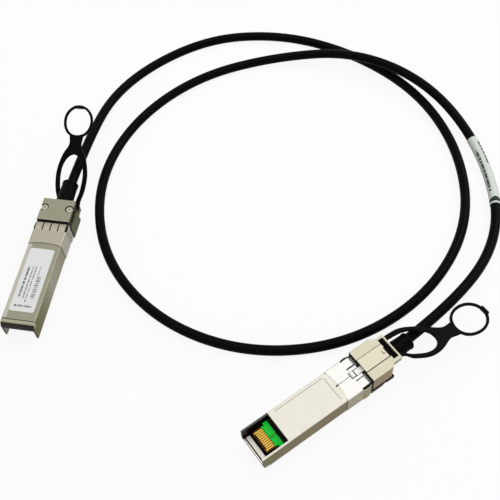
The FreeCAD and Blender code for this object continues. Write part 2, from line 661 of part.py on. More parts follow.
def cover_screws():
    """Two socket screws that hold cover and base together."""
    screws = []
    seat = PLATE_TOP - COUNTERBORE_DEPTH
    for y in (-SCREW_Y, SCREW_Y):
        head = rod(SCREW_X, y, seat, (0, 0, 1), SCREW_HEAD_RADIUS, SCREW_HEAD_HEIGHT)
        rim = [e for e in head.Edges if abs(e.BoundBox.Center.z - seat - SCREW_HEAD_HEIGHT) < 0.01
               and e.BoundBox.XLength > 0.1]
        head = head.makeChamfer(0.2, rim)
        hexagon = [Vector(SCREW_X + SCREW_SOCKET * math.cos(a), y + SCREW_SOCKET * math.sin(a),
                          seat + 0.25) for a in (k * math.pi / 3 for k in range(6))]
        socket = face_of(hexagon).extrude(Vector(0, 0, 1))
        shank = rod(SCREW_X, y, seat - SCREW_DEPTH, (0, 0, 1), SCREW_RADIUS, SCREW_DEPTH)
        screws.append(fused([head, shank]).cut(socket))
    return Part.makeCompound(screws)


def latch_lever():
    """Rocking lever: the boss that locks in the cage, the arm and the eye round the pin."""
    boss_end = LATCH_FRONT + BOSS_LENGTH
    notch_end = boss_end + LEVER_NOTCH
    lift_end = LIFT_PAD_START + LIFT_PAD_LENGTH
    outline = [(LATCH_FRONT, LEVER_THICK), (LATCH_FRONT, 0), (LATCH_FRONT + 0.45, -BOSS_HEIGHT),
               (boss_end, -BOSS_HEIGHT), (boss_end, LEVER_NOTCH), (notch_end, LEVER_NOTCH),
               (notch_end, 0), (LIFT_PAD_START, 0), (LIFT_PAD_START + 0.2, -LIFT_PAD_HEIGHT),
               (lift_end, -LIFT_PAD_HEIGHT), (lift_end + 0.2, 0), (PIVOT_X, 0),
               (PIVOT_X, LEVER_THICK)]
    arm = side_profile(outline, LEVER_HALF)
    eye = rod(PIVOT_X, -LEVER_HALF, PIVOT_Z, (0, 1, 0), PIVOT_EYE, 2 * LEVER_HALF)
    hole = rod(PIVOT_X, -LEVER_HALF - 1, PIVOT_Z, (0, 1, 0), PIVOT_RADIUS + 0.04,
               2 * LEVER_HALF + 2)
    return fused([arm, eye]).cut(hole)


def pivot_pin():
    return rod(PIVOT_X, -PIVOT_HALF + 0.05, PIVOT_Z, (0, 1, 0), PIVOT_RADIUS,
               2 * PIVOT_HALF - 0.1)


def latch_spring():
    """Arched leaf between the lever and the ceiling of its channel."""
    middle = (LEAF_FRONT + LEAF_REAR) / 2
    crown = LEAF_CEILING - 0.02
    foot = LEVER_THICK + 0.02

    def arc(drop):
        return Part.Arc(Vector(LEAF_FRONT, -LEAF_HALF, foot + LEAF_THICK - drop),
                        Vector(middle, -LEAF_HALF, crown - drop),
                        Vector(LEAF_REAR, -LEAF_HALF, foot + LEAF_THICK - drop)).toShape()

    ends = [Part.makeLine(Vector(x, -LEAF_HALF, foot), Vector(x, -LEAF_HALF, foot + LEAF_THICK))
            for x in (LEAF_FRONT, LEAF_REAR)]
    wire = Part.Wire(Part.sortEdges([arc(0), arc(LEAF_THICK)] + ends)[0])
    return Part.Face(wire).extrude(Vector(0, 2 * LEAF_HALF, 0))


def slider():
    """Sliding plate in the backshell: side tongues, cam for the lever and lug for the tab."""
    front = NOSE_LENGTH + 0.3
    step = SLIDER_TOP - SLIDER_THICK / 2
    plate = slab(front, SLIDER_REAR, SLIDER_HALF, SLIDER_BOTTOM, SLIDER_TOP)
    tongues = slab(front + 0.6, SLIDER_REAR - 0.6, SLIDER_HALF + SLIDER_TONGUE, step, SLIDER_TOP)
    cam_x = front + CAM_START
    cam_top = SLIDER_TOP + CAM_HEIGHT
    cam = side_profile([(cam_x, SLIDER_TOP), (cam_x + 0.3, cam_top),
                        (cam_x + CAM_LENGTH, cam_top), (cam_x + CAM_LENGTH, SLIDER_TOP)],
                       LEVER_HALF)
    lug_front = SLIDER_REAR - LUG_LENGTH - 0.3
    lug = slab(lug_front, lug_front + LUG_LENGTH, LUG_HALF, SLIDER_TOP, TAB_TOP - 0.1)
    stop = box(SLIDER_REAR, SLIDER_REAR + STOP_LENGTH, -SLIDER_HALF, STOP_WIDTH - SLIDER_HALF,
               SLIDER_BOTTOM, SLIDER_TOP)
    slits = [slab(lug_front - LUG_SLIT, lug_front, LUG_HALF, SLIDER_BOTTOM - 1, SLIDER_TOP + 0.01),
             box(lug_front - LUG_SLIT, lug_front + LUG_LENGTH, LUG_HALF, LUG_HALF + LUG_SLIT,
                 SLIDER_BOTTOM - 1, SLIDER_TOP + 0.01)]
    return fused([plate, tongues, cam, lug, stop]).cut(slits)


def tab_centre(flex, s):
    """Sideways offset of the flexed strap at the distance s from the backshell."""
    full = flex["eye"] * 1.75
    return flex["sway"] * math.sin(min(s / full, 1.0) * math.pi / 2)


def strap_edges(flex, half_widths, x0):
    """The strap's two edges as tangent arcs, at the same half widths on both sides of its middle."""
    sides = []
    for sign in (1, -1):
        points = [Vector(x0 + s, tab_centre(flex, s) + sign * w, TAB_Z) for s, w in half_widths]
        closes = half_widths[-1][1] == 0
        leave = Vector(0, -sign, 0) if closes else Vector(1, 0, 0)
        curve = Part.BSplineCurve()
        curve.interpolate(Points=points, InitialTangent=Vector(1, 0, 0), FinalTangent=leave)
        sides.append([arc.toShape() for arc in curve.toBiArcs(TAB_ARC_FIT)])
    return sides


def closed_by_lines(sides):
    """Wire round the strap or its opening: both edges and straight lines across their ends."""
    left, right = [Part.Wire(Part.sortEdges(side)[0]) for side in sides]
    edges = left.Edges + right.Edges
    ends = [(left.OrderedVertexes[k].Point, right.OrderedVertexes[k].Point) for k in (0, -1)]
    edges += [Part.makeLine(a, b) for a, b in ends if a.distanceToPoint(b) > 0.01]
    return Part.Wire(Part.sortEdges(edges)[0])


def arm_section(x, y):
    """Section of one arm with rounded corners, across the plug."""
    bar = box(x, x + 1, y, y + ARM_WIDTH, TAB_Z, TAB_TOP)
    bar = bar.makeChamfer(TAB_EDGE, [e for e in bar.Edges if e.BoundBox.XLength > 0.99])
    return min(bar.Faces, key=lambda f: f.CenterOfMass.x)


def finger_loop(flex, loop_x, loop_y):
    """Rounded ring at the end of the strap, a little uneven as it lies."""
    length, width = flex["loop"]
    unit = [(-1.0, 0.0), (-0.74, 0.7), (-0.1, 0.99), (0.6, 0.82), (1.0, 0.2), (0.84, -0.56),
            (0.1, -1.0), (-0.7, -0.74)]
    solids = []
    for inset, grow in ((0, 0), (LOOP_BAND, 1)):
        curve = Part.BSplineCurve()
        curve.interpolate([Vector(loop_x + s * (length / 2 - inset), loop_y + t * (width / 2 - inset),
                                  TAB_Z - grow) for s, t in unit], PeriodicFlag=True)
        arcs = [arc.toShape() for arc in curve.toBiArcs(TAB_ARC_FIT)]
        face = Part.Face(Part.Wire(Part.sortEdges(arcs)[0]))
        solids.append(face.extrude(Vector(0, 0, TAB_THICK + 2 * grow)))
    ring = solids[0].cut(solids[1])
    rims = [e for e in ring.Edges if e.BoundBox.ZLength < 0.01]
    ring = ring.makeChamfer(TAB_EDGE, rims)
    nub_x = loop_x + 0.98 * length / 2
    nub = box(nub_x - LOOP_BAND, nub_x, loop_y - 0.3 * NUB_WIDTH, loop_y + 0.7 * NUB_WIDTH,
              TAB_Z - NUB_HEIGHT, TAB_TOP - TAB_EDGE)
    nub = nub.makeChamfer(TAB_EDGE, [e for e in nub.Edges if e.BoundBox.ZMin < TAB_Z - 0.1])
    return ring.fuse(nub)


def pull_tab(flex):
    """Moulded strap: cross bar in the backshell, two arms round the cable, waist and finger loop."""
    bend_x = SHELL_REAR + 0.4
    inner = TAB_HALF - ARM_WIDTH
    eye = flex["eye"]
    bow = flex["bow"]
    waist = flex["waist"]
    gap = bow - ARM_WIDTH
    outer = [(0, TAB_HALF), (0.16 * eye, 0.55 * TAB_HALF + 0.45 * bow), (0.34 * eye, 0.97 * bow),
             (0.6 * eye, bow), (0.85 * eye, 0.86 * bow), (eye + 0.16 * waist, 0.62 * bow),
             (eye + 0.6 * waist, WAIST_HALF), (eye + waist + 0.8 * LOOP_BAND, WAIST_HALF + 0.3)]
    opening = [(0, inner), (0.16 * eye, 0.55 * inner + 0.45 * gap), (0.34 * eye, 0.95 * gap),
               (0.62 * eye, gap), (0.87 * eye, 0.7 * gap), (eye, 0)]
    strap = Part.Face(closed_by_lines(strap_edges(flex, outer, bend_x)))
    strap = strap.cut(Part.Face(closed_by_lines(strap_edges(flex, opening, bend_x))))
    strap = strap.extrude(Vector(0, 0, TAB_THICK))
    rims = [e for e in strap.Edges if e.Curve.TypeId == "Part::GeomCircle"]
    strap = strap.makeChamfer(TAB_EDGE, rims)
    loop_x = bend_x + eye + waist + flex["loop"][0] / 2
    plate = strap.fuse(finger_loop(flex, loop_x, tab_centre(flex, eye + 2 * waist)))
    pivot = Vector(bend_x, 0, TAB_TOP + TAB_BEND_RADIUS)
    plate.rotate(pivot, Vector(0, 1, 0), -flex["rise"])

    pieces = [plate]
    for y in (-TAB_HALF, inner):
        bend = arm_section(bend_x, y).revolve(pivot, Vector(0, 1, 0), -flex["rise"])
        arm = arm_section(TAB_FRONT + TAB_BAR / 2, y).extrude(
            Vector(bend_x - TAB_FRONT - TAB_BAR / 2, 0, 0))
        pieces += [bend, arm]
    pieces.append(slab(TAB_FRONT, TAB_FRONT + TAB_BAR, TAB_HALF, TAB_Z, TAB_TOP))
    tab = pieces[0].fuse(pieces[1:])
    window_front = SLIDER_REAR - LUG_LENGTH - 0.3 - SLIDE_FIT
    window = slab(window_front, window_front + LUG_LENGTH + 2 * SLIDE_FIT, LUG_HALF + SLIDE_FIT,
                  TAB_Z - 1, TAB_TOP + 1)
    return tab.cut(window)


def label():
    sheet = slab(LABEL_START, LABEL_END, LABEL_HALF, BODY_HEIGHT, BODY_HEIGHT + LABEL_THICK)
    return sheet.makeFillet(LABEL_ROUND, upright_edges(sheet, LABEL_THICK))


# --- Laying the plugs down and writing the files ------------------------------------------------
def plug_placement(name):
    """Plug A rests on its backshell's underside, plug B on its cover plate, turned over."""
    if name == "plug_a":
        heading = Rotation(Vector(0, 0, 1), PLUG_A_HEADING)
        return Placement(Vector(*PLUG_A_NOSE, BASE_DROP), heading)
    heading = Rotation(Vector(0, 0, 1), PLUG_B_HEADING)
    turned_over = heading.multiply(Rotation(Vector(1, 0, 0), 180))
    return Placement(Vector(*PLUG_B_NOSE, PLATE_TOP), turned_over)


def plug_pieces(name):
    pieces = {
        "cover": cover(), "base": base(), "emi_collar": emi_collar(),
        "circuit_card": circuit_card(), "edge_contacts": edge_contacts(),
        "memory_chip": memory_chip(), "capacitors": capacitors(), "wire_pairs": wire_pairs(),
        "crimp_ferrule": crimp_ferrule(), "boot": boot(), "cover_screws": cover_screws(),
        "latch_lever": latch_lever(), "pivot_pin": pivot_pin(), "latch_spring": latch_spring(),
        "slider": slider(), "pull_tab": pull_tab(TAB_FLEX[name]),
    }
    if name == "plug_a":
        pieces["label"] = label()
    return pieces


def main():
    os.makedirs("parts", exist_ok=True)
    nodes = {}
    ends = {}
    for plug in ("plug_a", "plug_b"):
        placement = plug_placement(plug)
        for piece, shape in plug_pieces(plug).items():
            nodes[plug + "_" + piece] = moved(shape, placement)
        ends[plug] = placement.multVec(Vector(CABLE_X, 0, CABLE_Z))
    route = [tuple(ends["plug_a"])] + CABLE_ROUTE + [tuple(ends["plug_b"])]
    edges, radii = cord_edges(route)
    nodes["cable"] = swept(edges, CABLE_RADIUS)
    nodes["cable_label"] = swept(trimmed(edges, WRAP_START, WRAP_LENGTH),
                                 CABLE_RADIUS + RUN_FIT + WRAP_SHEET, CABLE_RADIUS + RUN_FIT)
    length = sum(edge.Length for edge in edges)
    section = math.pi * CABLE_RADIUS ** 2
    print("arc radii", [round(r) for r in radii])
    print("cable length %.1f, volume %.1f against %.1f" % (length, nodes["cable"].Volume,
                                                           section * length))
    for name, shape in nodes.items():
        shape.exportStep("parts/" + name + ".step")
    return nodes


def moved(shape, placement):
    copy = shape.copy()
    copy.Placement = placement.multiply(copy.Placement)
    return copy


main()
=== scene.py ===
"""Direct attach copper cable: finish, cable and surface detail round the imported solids."""
import math

import bmesh
import bpy
from bpy.props import FloatProperty, FloatVectorProperty, IntProperty, PointerProperty
from mathutils import Matrix, Vector


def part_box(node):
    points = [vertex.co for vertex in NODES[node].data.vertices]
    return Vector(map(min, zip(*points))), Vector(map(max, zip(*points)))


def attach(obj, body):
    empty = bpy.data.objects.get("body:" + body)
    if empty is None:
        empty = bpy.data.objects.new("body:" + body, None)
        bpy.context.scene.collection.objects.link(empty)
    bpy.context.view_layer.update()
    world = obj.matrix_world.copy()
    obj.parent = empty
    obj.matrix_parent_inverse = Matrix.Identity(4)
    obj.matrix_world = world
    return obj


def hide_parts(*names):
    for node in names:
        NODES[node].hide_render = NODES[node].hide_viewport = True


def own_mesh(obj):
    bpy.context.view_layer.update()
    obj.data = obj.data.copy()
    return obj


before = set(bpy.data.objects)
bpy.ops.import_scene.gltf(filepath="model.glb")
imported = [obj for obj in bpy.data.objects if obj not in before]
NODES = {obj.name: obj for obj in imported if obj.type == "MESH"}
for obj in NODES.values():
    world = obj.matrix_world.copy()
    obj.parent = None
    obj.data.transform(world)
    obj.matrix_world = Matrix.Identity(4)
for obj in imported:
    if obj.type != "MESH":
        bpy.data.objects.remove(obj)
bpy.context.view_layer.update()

ROOT = "plugs_and_cable"
MM = 0.001

# Where each plug lies: tip of its nose, heading, and +1 with the label side up or -1 turned over.
PLUGS = {
    "plug_a": {"tip": (-0.0827, -0.0316, 0.0018), "heading": math.radians(90), "up": 1.0},
    "plug_b": {"tip": (0.0118, -0.0641, 0.0093), "heading": math.radians(45), "up": -1.0},
}

# Places along and across a plug in millimetres, counted from the tip, middle and latch side.
SHELL_FRONT = 47.6
SHELL_REAR = 58.1
COLLAR_FRONT = 36.3
COLLAR_ARCH = 0.9
FINGER_CREASE = 43.1
BODY_HALF = 6.7
INNER_HALF = 5.9
ROOF_UNDERSIDE = 7.5
PLATE_UNDERSIDE = 7.7
PLATE_TOP = 9.3
LIP_INNER = 2.55
LIP_LOW = 5.2
SCREW_PLACE = (53.8, 5.2)
COUNTERBORE = 1.7
CARD_LOW = 2.25
CARD_HIGH = 3.25
PAD_END = 6.7
MOUTH_END = 11.2
FIELD_START = 12.8
FIELD_END = 34.8
FIELD_HALF = 5.5
LATCH_GAP = (44.35, 44.75)
GAP_LINE = (46.95, 47.35)
CARD_SHADE = 9.75
PAPER_EDGE = 4.97
TONGUE_HALF = 5.64
SLIDER_EDGE = 2.62
LEVER_EDGE = 1.07

WHITE = (1.0, 1.0, 1.0, 1.0)
LAMINATE_BROWN = (0.05, 0.018, 0.002)
# Painted light and shade down the sides: olive shade towards the nose tips, a pale painted
# highlight half way along plug A's sides, painted shade on plug B's backshell sides, and side tones
# for the collars, lighter on plug A and darker on plug B.
OLIVE_A, OLIVE_B = (0.15, 0.145, 0.03), (0.22, 0.19, 0.055)
PALE_A = (0.55, 0.52, 0.44)
SHELL_SIDE_B = (0.42, 0.31, 0.17)
SHEET_SIDE_A, SHEET_SIDE_B = (0.50, 0.47, 0.39), (0.46, 0.42, 0.26)

bl_info = {
    "name": "Direct Attach Copper Cable",
    "version": (1, 0, 0),
    "blender": (4, 5, 0),
    "location": "View3D > Sidebar > Copper Cable",
    "description": "Dresses a network cable: metals, circuit card, cable, labels and stage",
    "category": "Object",
}

# Route of the cable from clamp to clamp, in millimetres.
CABLE_ROUTE = [
    (-82.7, 16.6, 6.05),
    (-82.7, 58.9, 6.05),
    (-77.7, 100.4, 2.0),
    (-46.2, 132.9, 2.0),
    (-9.2, 140.9, 2.0),
    (26.8, 131.9, 2.0),
    (57.8, 110.9, 2.0),
    (76.8, 78.9, 2.0),
    (81.8, 41.9, 2.0),
    (67.8, 6.9, 2.0),
    (39.8, -18.1, 2.0),
    (2.8, -27.1, 2.0),
    (-33.2, -18.1, 2.0),
    (-61.2, 6.9, 2.0),
    (-73.2, 42.9, 2.0),
    (-66.2, 78.9, 2.0),
    (-43.2, 108.9, 2.0),
    (-9.2, 125.9, 2.0),
    (27.8, 127.9, 7.4),
    (61.8, 111.9, 7.4),
    (85.8, 81.9, 2.0),
    (95.3, 39.9, 2.0),
    (75.6, -0.3, 5.05),
    (45.88, -30.02, 5.05),
]


# --- Values a user would change -----------------------------------------------------------------
class CableSizes(bpy.types.PropertyGroup):
    diameter: FloatProperty(
        name="Diameter", description="Outer diameter of the cable's jacket",
        default=0.004, min=0.001, unit="LENGTH")
    length: FloatProperty(
        name="Length", description="Length of the cable between its two clamps",
        default=0.884, min=0.1, unit="LENGTH")
    sides: IntProperty(
        name="Sides", description="Resolution of the round jacket", default=6, min=2, max=16)
    wrap_start: FloatProperty(
        name="Wrap start", description="Distance of the wrapped label from plug A's clamp",
        default=0.7492, unit="LENGTH")
    wrap_length: FloatProperty(
        name="Wrap length", description="Length of the label wrapped round the cable",
        default=0.0348, unit="LENGTH")
    wrap_sheet: FloatProperty(
        name="Wrap thickness", description="Thickness of the wrapped label",
        default=0.00015, unit="LENGTH")


class CardRows(bpy.types.PropertyGroup):
    contact_count: IntProperty(
        name="Contacts", description="Contacts, traces and vias across a card", default=10, min=2)
    contact_pitch: FloatProperty(
        name="Pitch", description="Distance between neighbouring contacts", default=0.0008,
        unit="LENGTH", precision=5)


class FinishColours(bpy.types.PropertyGroup):
    # Both plugs carry the same plating; the two sets of colours are painted light and shade: plug
    # A's are darker, shaded copies and plug B's paler, lit copies.
    roof_a: FloatVectorProperty(
        name="Plug A casting", description="Plating of plug A's cover", subtype="COLOR", size=3,
        default=(0.36, 0.345, 0.245))
    # Painted shade: the tone of plug A's sides for how light falls on them.
    side_a: FloatVectorProperty(
        name="Plug A sides", description="Shaded sides of plug A", subtype="COLOR", size=3,
        default=(0.30, 0.27, 0.17))
    base_a: FloatVectorProperty(
        name="Plug A base", description="Plating of plug A's lower half", subtype="COLOR", size=3,
        default=(0.105, 0.11, 0.04))
    sheet_a: FloatVectorProperty(
        name="Plug A collar", description="Spring sheet of plug A", subtype="COLOR", size=3,
        default=(0.47, 0.44, 0.34))
    roof_b: FloatVectorProperty(
        name="Plug B casting", description="Plating of plug B's floor panel", subtype="COLOR",
        size=3, default=(0.83, 0.80, 0.70))
    # Painted shade: the darker tone of plug B's sides, which face away from the light.
    side_b: FloatVectorProperty(
        name="Plug B sides", description="Shaded sides of plug B", subtype="COLOR", size=3,
        default=(0.24, 0.185, 0.075))
    base_b: FloatVectorProperty(
        name="Plug B base", description="Plating of plug B's backshell", subtype="COLOR", size=3,
        default=(0.70, 0.67, 0.50))
    sheet_b: FloatVectorProperty(
        name="Plug B collar", description="Spring sheet of plug B", subtype="COLOR", size=3,
        default=(0.88, 0.87, 0.83))
    # Near-black painted shade for gaps, channels, recesses, the insides of the noses and the shaded
    # rear of the cards; the castings also take their fine grain specks from it.
    shade_and_speck: FloatVectorProperty(
        name="Recess", description="Shadowed metal in gaps and inside the noses",
        subtype="COLOR", size=3, default=(0.006, 0.005, 0.004))
    board: FloatVectorProperty(
        name="Solder mask", description="Green of the circuit card", subtype="COLOR", size=3,
        default=(0.0005, 0.74, 0.04))
    gold: FloatVectorProperty(
        name="Contact gold", description="Gold of the edge contacts", subtype="COLOR", size=3,
        default=(0.64, 0.37, 0.045))
    jacket: FloatVectorProperty(
        name="Jacket", description="Black of cable, boots and tabs", subtype="COLOR", size=3,
        default=(0.0012, 0.0012, 0.0013))
    paper: FloatVectorProperty(
        name="Label", description="White of the module's label", subtype="COLOR", size=3,
        default=(0.94, 0.955, 0.945))
    wrap_paper: FloatVectorProperty(
        name="Wrap", description="Grey-white of the wrapped label", subtype="COLOR", size=3,
        default=(0.80, 0.85, 0.79))
    print_ink: FloatVectorProperty(
        name="Print", description="Grey of the printed bars", subtype="COLOR", size=3,
        default=(0.03, 0.03, 0.033))
    band: FloatVectorProperty(
        name="Label band", description="Dark green band of the wrapped label", subtype="COLOR",
        size=3, default=(0.006, 0.025, 0.014))


class StageValues(bpy.types.PropertyGroup):
    camera_place: FloatVectorProperty(
        name="Camera", description="Where the camera stands", subtype="TRANSLATION", size=3,
        default=(0.0433, -0.1639, 0.2897))
    look_direction: FloatVectorProperty(
        name="Look direction", description="Where the camera looks", subtype="DIRECTION", size=3,
        default=(-0.1352, 0.5303, -0.8369))
    roll: FloatProperty(
        name="Roll", description="Turn of the camera about its axis",
        default=math.radians(-5.572), subtype="ANGLE")
    lens: FloatProperty(
        name="Lens", description="Focal length on a 36 mm frame", default=62.1)
    key_power: FloatProperty(
        name="Key light", description="Power of the large light over the table", default=2.4)
    fill: FloatProperty(name="Fill", description="Level of the surroundings", default=0.42)


# --- Shader writing -----------------------------------------------------------------------------
class Signal:
    """A socket in a material; arithmetic on it adds Math nodes."""

    def __init__(self, tree, socket):
        self.tree = tree
        self.socket = socket

    def _math(self, operation, *values):
        return self.tree.node("ShaderNodeMath", {"operation": operation}, dict(enumerate(values)))

    def __add__(self, other):
        return self._math("ADD", self, other)

    def __sub__(self, other):
        return self._math("SUBTRACT", self, other)

    def __mul__(self, other):
        return self._math("MULTIPLY", self, other)

    def __rsub__(self, other):
        return self._math("SUBTRACT", other, self)

    def __gt__(self, other):
        return self._math("GREATER_THAN", self, other)

    def __lt__(self, other):
        return self._math("LESS_THAN", self, other)

    def absolute(self):
        return self._math("ABSOLUTE", self)

    def clamped(self):
        return self._math("MINIMUM", self._math("MAXIMUM", self, 0.0), 1.0)


class Finish:
    """A procedural material on the Principled shader."""

    def __init__(self, name, colour, roughness, metallic=0.0, specular=0.5):
        self.material = bpy.data.materials.new(name)
        self.material.use_nodes = True
        self.nodes = self.material.node_tree.nodes
        self.links = self.material.node_tree.links
        self.shader = self.nodes["Principled BSDF"]
        self.material.diffuse_color = (*colour, 1.0)
        values = {"Base Color": (*colour, 1.0), "Roughness": roughness, "Metallic": metallic,
                  "Specular IOR Level": specular}
        for socket, value in values.items():
            self.shader.inputs[socket].default_value = value

    def node(self, kind, settings=None, inputs=None, output=0):
        """Add a node: its settings first, then the values or links of its sockets."""
        made = self.nodes.new(kind)
        for name, value in (settings or {}).items():
            if name == "stops":
                self._stops(made.color_ramp, value)
            else:
                setattr(made, name, value)
        for name, value in (inputs or {}).items():
            socket = made.inputs[name]
            if isinstance(value, Signal):
                self.links.new(value.socket, socket)
            else:
                socket.default_value = value
        return Signal(self, made.outputs[output])

    @staticmethod
    def _stops(ramp, stops):
        while len(ramp.elements) < len(stops):
            ramp.elements.new(0.5)
        for element, (position, colour) in zip(ramp.elements, stops):
            element.position = position
            element.color = colour

    def place(self, origin=(0, 0, 0), turn=0.0):
        """Object coordinates counted from a point, turned about the vertical."""
        coordinates = self.node("ShaderNodeTexCoord", output="Object")
        moved = self.node("ShaderNodeVectorMath", {"operation": "SUBTRACT"},
                          {0: coordinates, 1: origin})
        if not turn:
            return moved
        return self.node("ShaderNodeVectorRotate", {"rotation_type": "Z_AXIS"},
                         {"Vector": moved, "Angle": turn})

    def axes(self, vector):
        parts = self.nodes.new("ShaderNodeSeparateXYZ")
        self.links.new(vector.socket, parts.inputs[0])
        return [Signal(self, parts.outputs[k]) for k in range(3)]

    def plug_axes(self, plug):
        """Millimetres along, across and above a plug, counted from the latch side of its tip."""
        lie = PLUGS[plug]
        x, y, z = self.axes(self.place(lie["tip"], -lie["heading"]))
        return x * 1000.0, y * (1000.0 * lie["up"]), z * (1000.0 * lie["up"])

    def zone(self, *ranges):
        """1 where every (signal, low, high) holds, with None for an open end."""
        inside = None
        for value, low, high in ranges:
            for test in ([] if low is None else [value > low]) + (
                    [] if high is None else [value < high]):
                inside = test if inside is None else inside * test
        return inside

    def noise(self, scale, detail=3.0, vector=None):
        inputs = {"Scale": scale, "Detail": detail, "Vector": vector or self.place()}
        return self.node("ShaderNodeTexNoise", None, inputs)

    def ramp(self, value, stops):
        grey = [(position, (level, level, level, 1.0)) for position, level in stops]
        return self.node("ShaderNodeValToRGB", {"stops": grey}, {"Fac": value})

    def blend(self, factor, first, second):
        first, second = [value if isinstance(value, Signal) else (*value, 1.0)
                         for value in (first, second)]
        return self.node("ShaderNodeMix", {"data_type": "RGBA"},
                         {0: factor, 6: first, 7: second}, output=2)

    def feed(self, name, value):
        self.links.new(value.socket, self.shader.inputs[name])

    def bump(self, height, distance, strength=1.0):
        self.feed("Normal", self.node("ShaderNodeBump", None, {
            "Strength": strength, "Distance": distance, "Height": height}))


def darker(colour, share):
    return tuple(channel * share for channel in colour)


def give(node, material):
    """Put one finish on a carried-over CAD node."""
    slots = NODES[node].data.materials
    slots.clear()
    slots.append(material)


# --- Materials ----------------------------------------------------------------------------------
class Casting(Finish):
    """Satin plated casting: fine grain and faint clouding, with painted shade in recesses and gaps.
    """

    def __init__(self, name, plug, colour, stain, shade_and_speck):
        super().__init__(name, colour, 0.46, 0.3, specular=0.2)
        self.x, self.y, self.z = self.plug_axes(plug)
        self.across = self.y.absolute()
        self.shade_and_speck = shade_and_speck
        cloud = self.noise(300.0, 4.0)
        self.grain = self.noise(5200.0, 2.0)
        self.tone = self.blend(self.ramp(cloud, [(0.38, 0.0), (0.75, 0.35)]), colour, stain)
        self.feed("Roughness", cloud * 0.12 + 0.40)
        self.bump(self.grain, 0.00002, 0.35)

    def tint(self, mask, colour):
        self.tone = self.blend(mask, self.tone, colour)

    # Painted shade: lays the near-black shade colour over a zone, such as a gap, a recess or the
    # inside of a nose.
    def paint_shade(self, *ranges, strength=1.0):
        self.tint(self.zone(*ranges) * strength, self.shade_and_speck)

    def finished(self):
        speckle = self.ramp(self.grain, [(0.35, 0.0), (0.8, 0.14)])
        self.feed("Base Color", self.blend(speckle, self.tone, self.shade_and_speck))
        return self.material


def side_shading(casting, colour, olive, pale):
    """Painted shade and highlight on the sides of the nose: olive shade towards the tip, a paler
    painted highlight half way, warm towards the collar.
    """
    near_tip = casting.ramp(casting.x * 0.02, [(0.05, 1.0), (0.42, 0.0)])
    middle = casting.ramp(casting.x * 0.02, [(0.12, 0.0), (0.42, 1.0), (0.80, 0.25)])
    side = casting.blend(middle * 0.6, colour, pale)
    side = casting.blend(near_tip, side, olive)
    casting.tint(casting.zone((casting.across, BODY_HALF - 0.07, None)), side)


def cover_metal(plug, colour, side, olive, pale, shade_and_speck, bare_strip):
    """Upper half of the casing, with painted shade in its hollows, gaps and on its dark faces, and
    painted highlights on its edges.
    """
    cast = Casting(plug + "_cover_nickel", plug, colour, darker(colour, 0.86), shade_and_speck)
    x, across, z = cast.x, cast.across, cast.z
    # Painted shade and highlight down the sides.
    side_shading(cast, side, olive, pale)
    # Painted highlight along the roof's edges and across the front of the roof.
    edge_highlight = darker(colour, 1.25)
    cast.tint(cast.zone((across, BODY_HALF - 0.34, None), (z, 8.2, 8.6)), edge_highlight)
    cast.tint(cast.zone((x, 0.25, 2.2), (z, 6.9, None)), edge_highlight)
    # Painted light on the underside of the front rib, which lies in the walls' shade.
    cast.tint(cast.zone((x, None, LIP_INNER), (z, None, LIP_LOW + 0.03),
                        (across, None, INNER_HALF + 0.03)), darker(colour, 1.15))
    # Painted shade: the rib's far end, the far side wall's inner face, the front face and the front
    # lip.
    cast.paint_shade((x, None, LIP_INNER), (cast.y, -INNER_HALF - 0.03, 0.7 - INNER_HALF),
                 (z, None, LIP_LOW + 0.03))
    cast.paint_shade((x, None, MOUTH_END), (cast.y, -BODY_HALF + 0.03, -INNER_HALF), (z, None, 1.3),
                 strength=0.9)
    cast.paint_shade((x, None, 0.04), (z, 0.9, 8.0), strength=0.9)
    cast.paint_shade((x, None, 0.95), (z, LIP_LOW + 0.05, None), (across, None, BODY_HALF - 0.08),
                 strength=0.95)
    if bare_strip:
        cast.tint(cast.zone((cast.y, PAPER_EDGE, BODY_HALF - 0.05), (x, 3.0, COLLAR_FRONT),
                            (z, 8.3, None)), darker(pale, 1.05))
    # Painted shade in the groove across the roof, in the groove before the rib and inside the nose.
    cast.paint_shade((x, 2.2, 2.65), (z, 8.27, 8.45), strength=0.85)
    cast.paint_shade((x, 0.44, 0.96), (z, LIP_LOW + 0.05, 6.2), (across, None, INNER_HALF + 0.03))
    cast.paint_shade((x, LIP_INNER - 0.04, SHELL_FRONT), (across, None, INNER_HALF + 0.03),
                 (z, 0.06, ROOF_UNDERSIDE + 0.05))
    # Painted shadow along the collar's arched front edge.
    arch = COLLAR_FRONT + COLLAR_ARCH - across * across * (COLLAR_ARCH / BODY_HALF ** 2)
    cast.paint_shade((x - arch, -0.26, 0.1), (x, None, SHELL_FRONT), strength=0.6)
    # Painted shade under the collar's fingers, in the seam under the plate and on the plate's
    # sides.
    cast.paint_shade((x, FINGER_CREASE - 0.1, SHELL_FRONT + 0.06))
    cast.paint_shade((x, SHELL_FRONT, None), (z, None, PLATE_UNDERSIDE + 0.02))
    cast.paint_shade((x, SHELL_FRONT, None), (across, BODY_HALF - 0.04, None), (z, None, 9.1),
                 strength=0.85)
    # Painted shade in the screws' counterbores.
    dx, dy = x - SCREW_PLACE[0], across - SCREW_PLACE[1]
    cast.paint_shade((dx * dx + dy * dy, None, (COUNTERBORE + 0.04) ** 2), (z, None, PLATE_TOP - 0.05))
    return cast.finished()


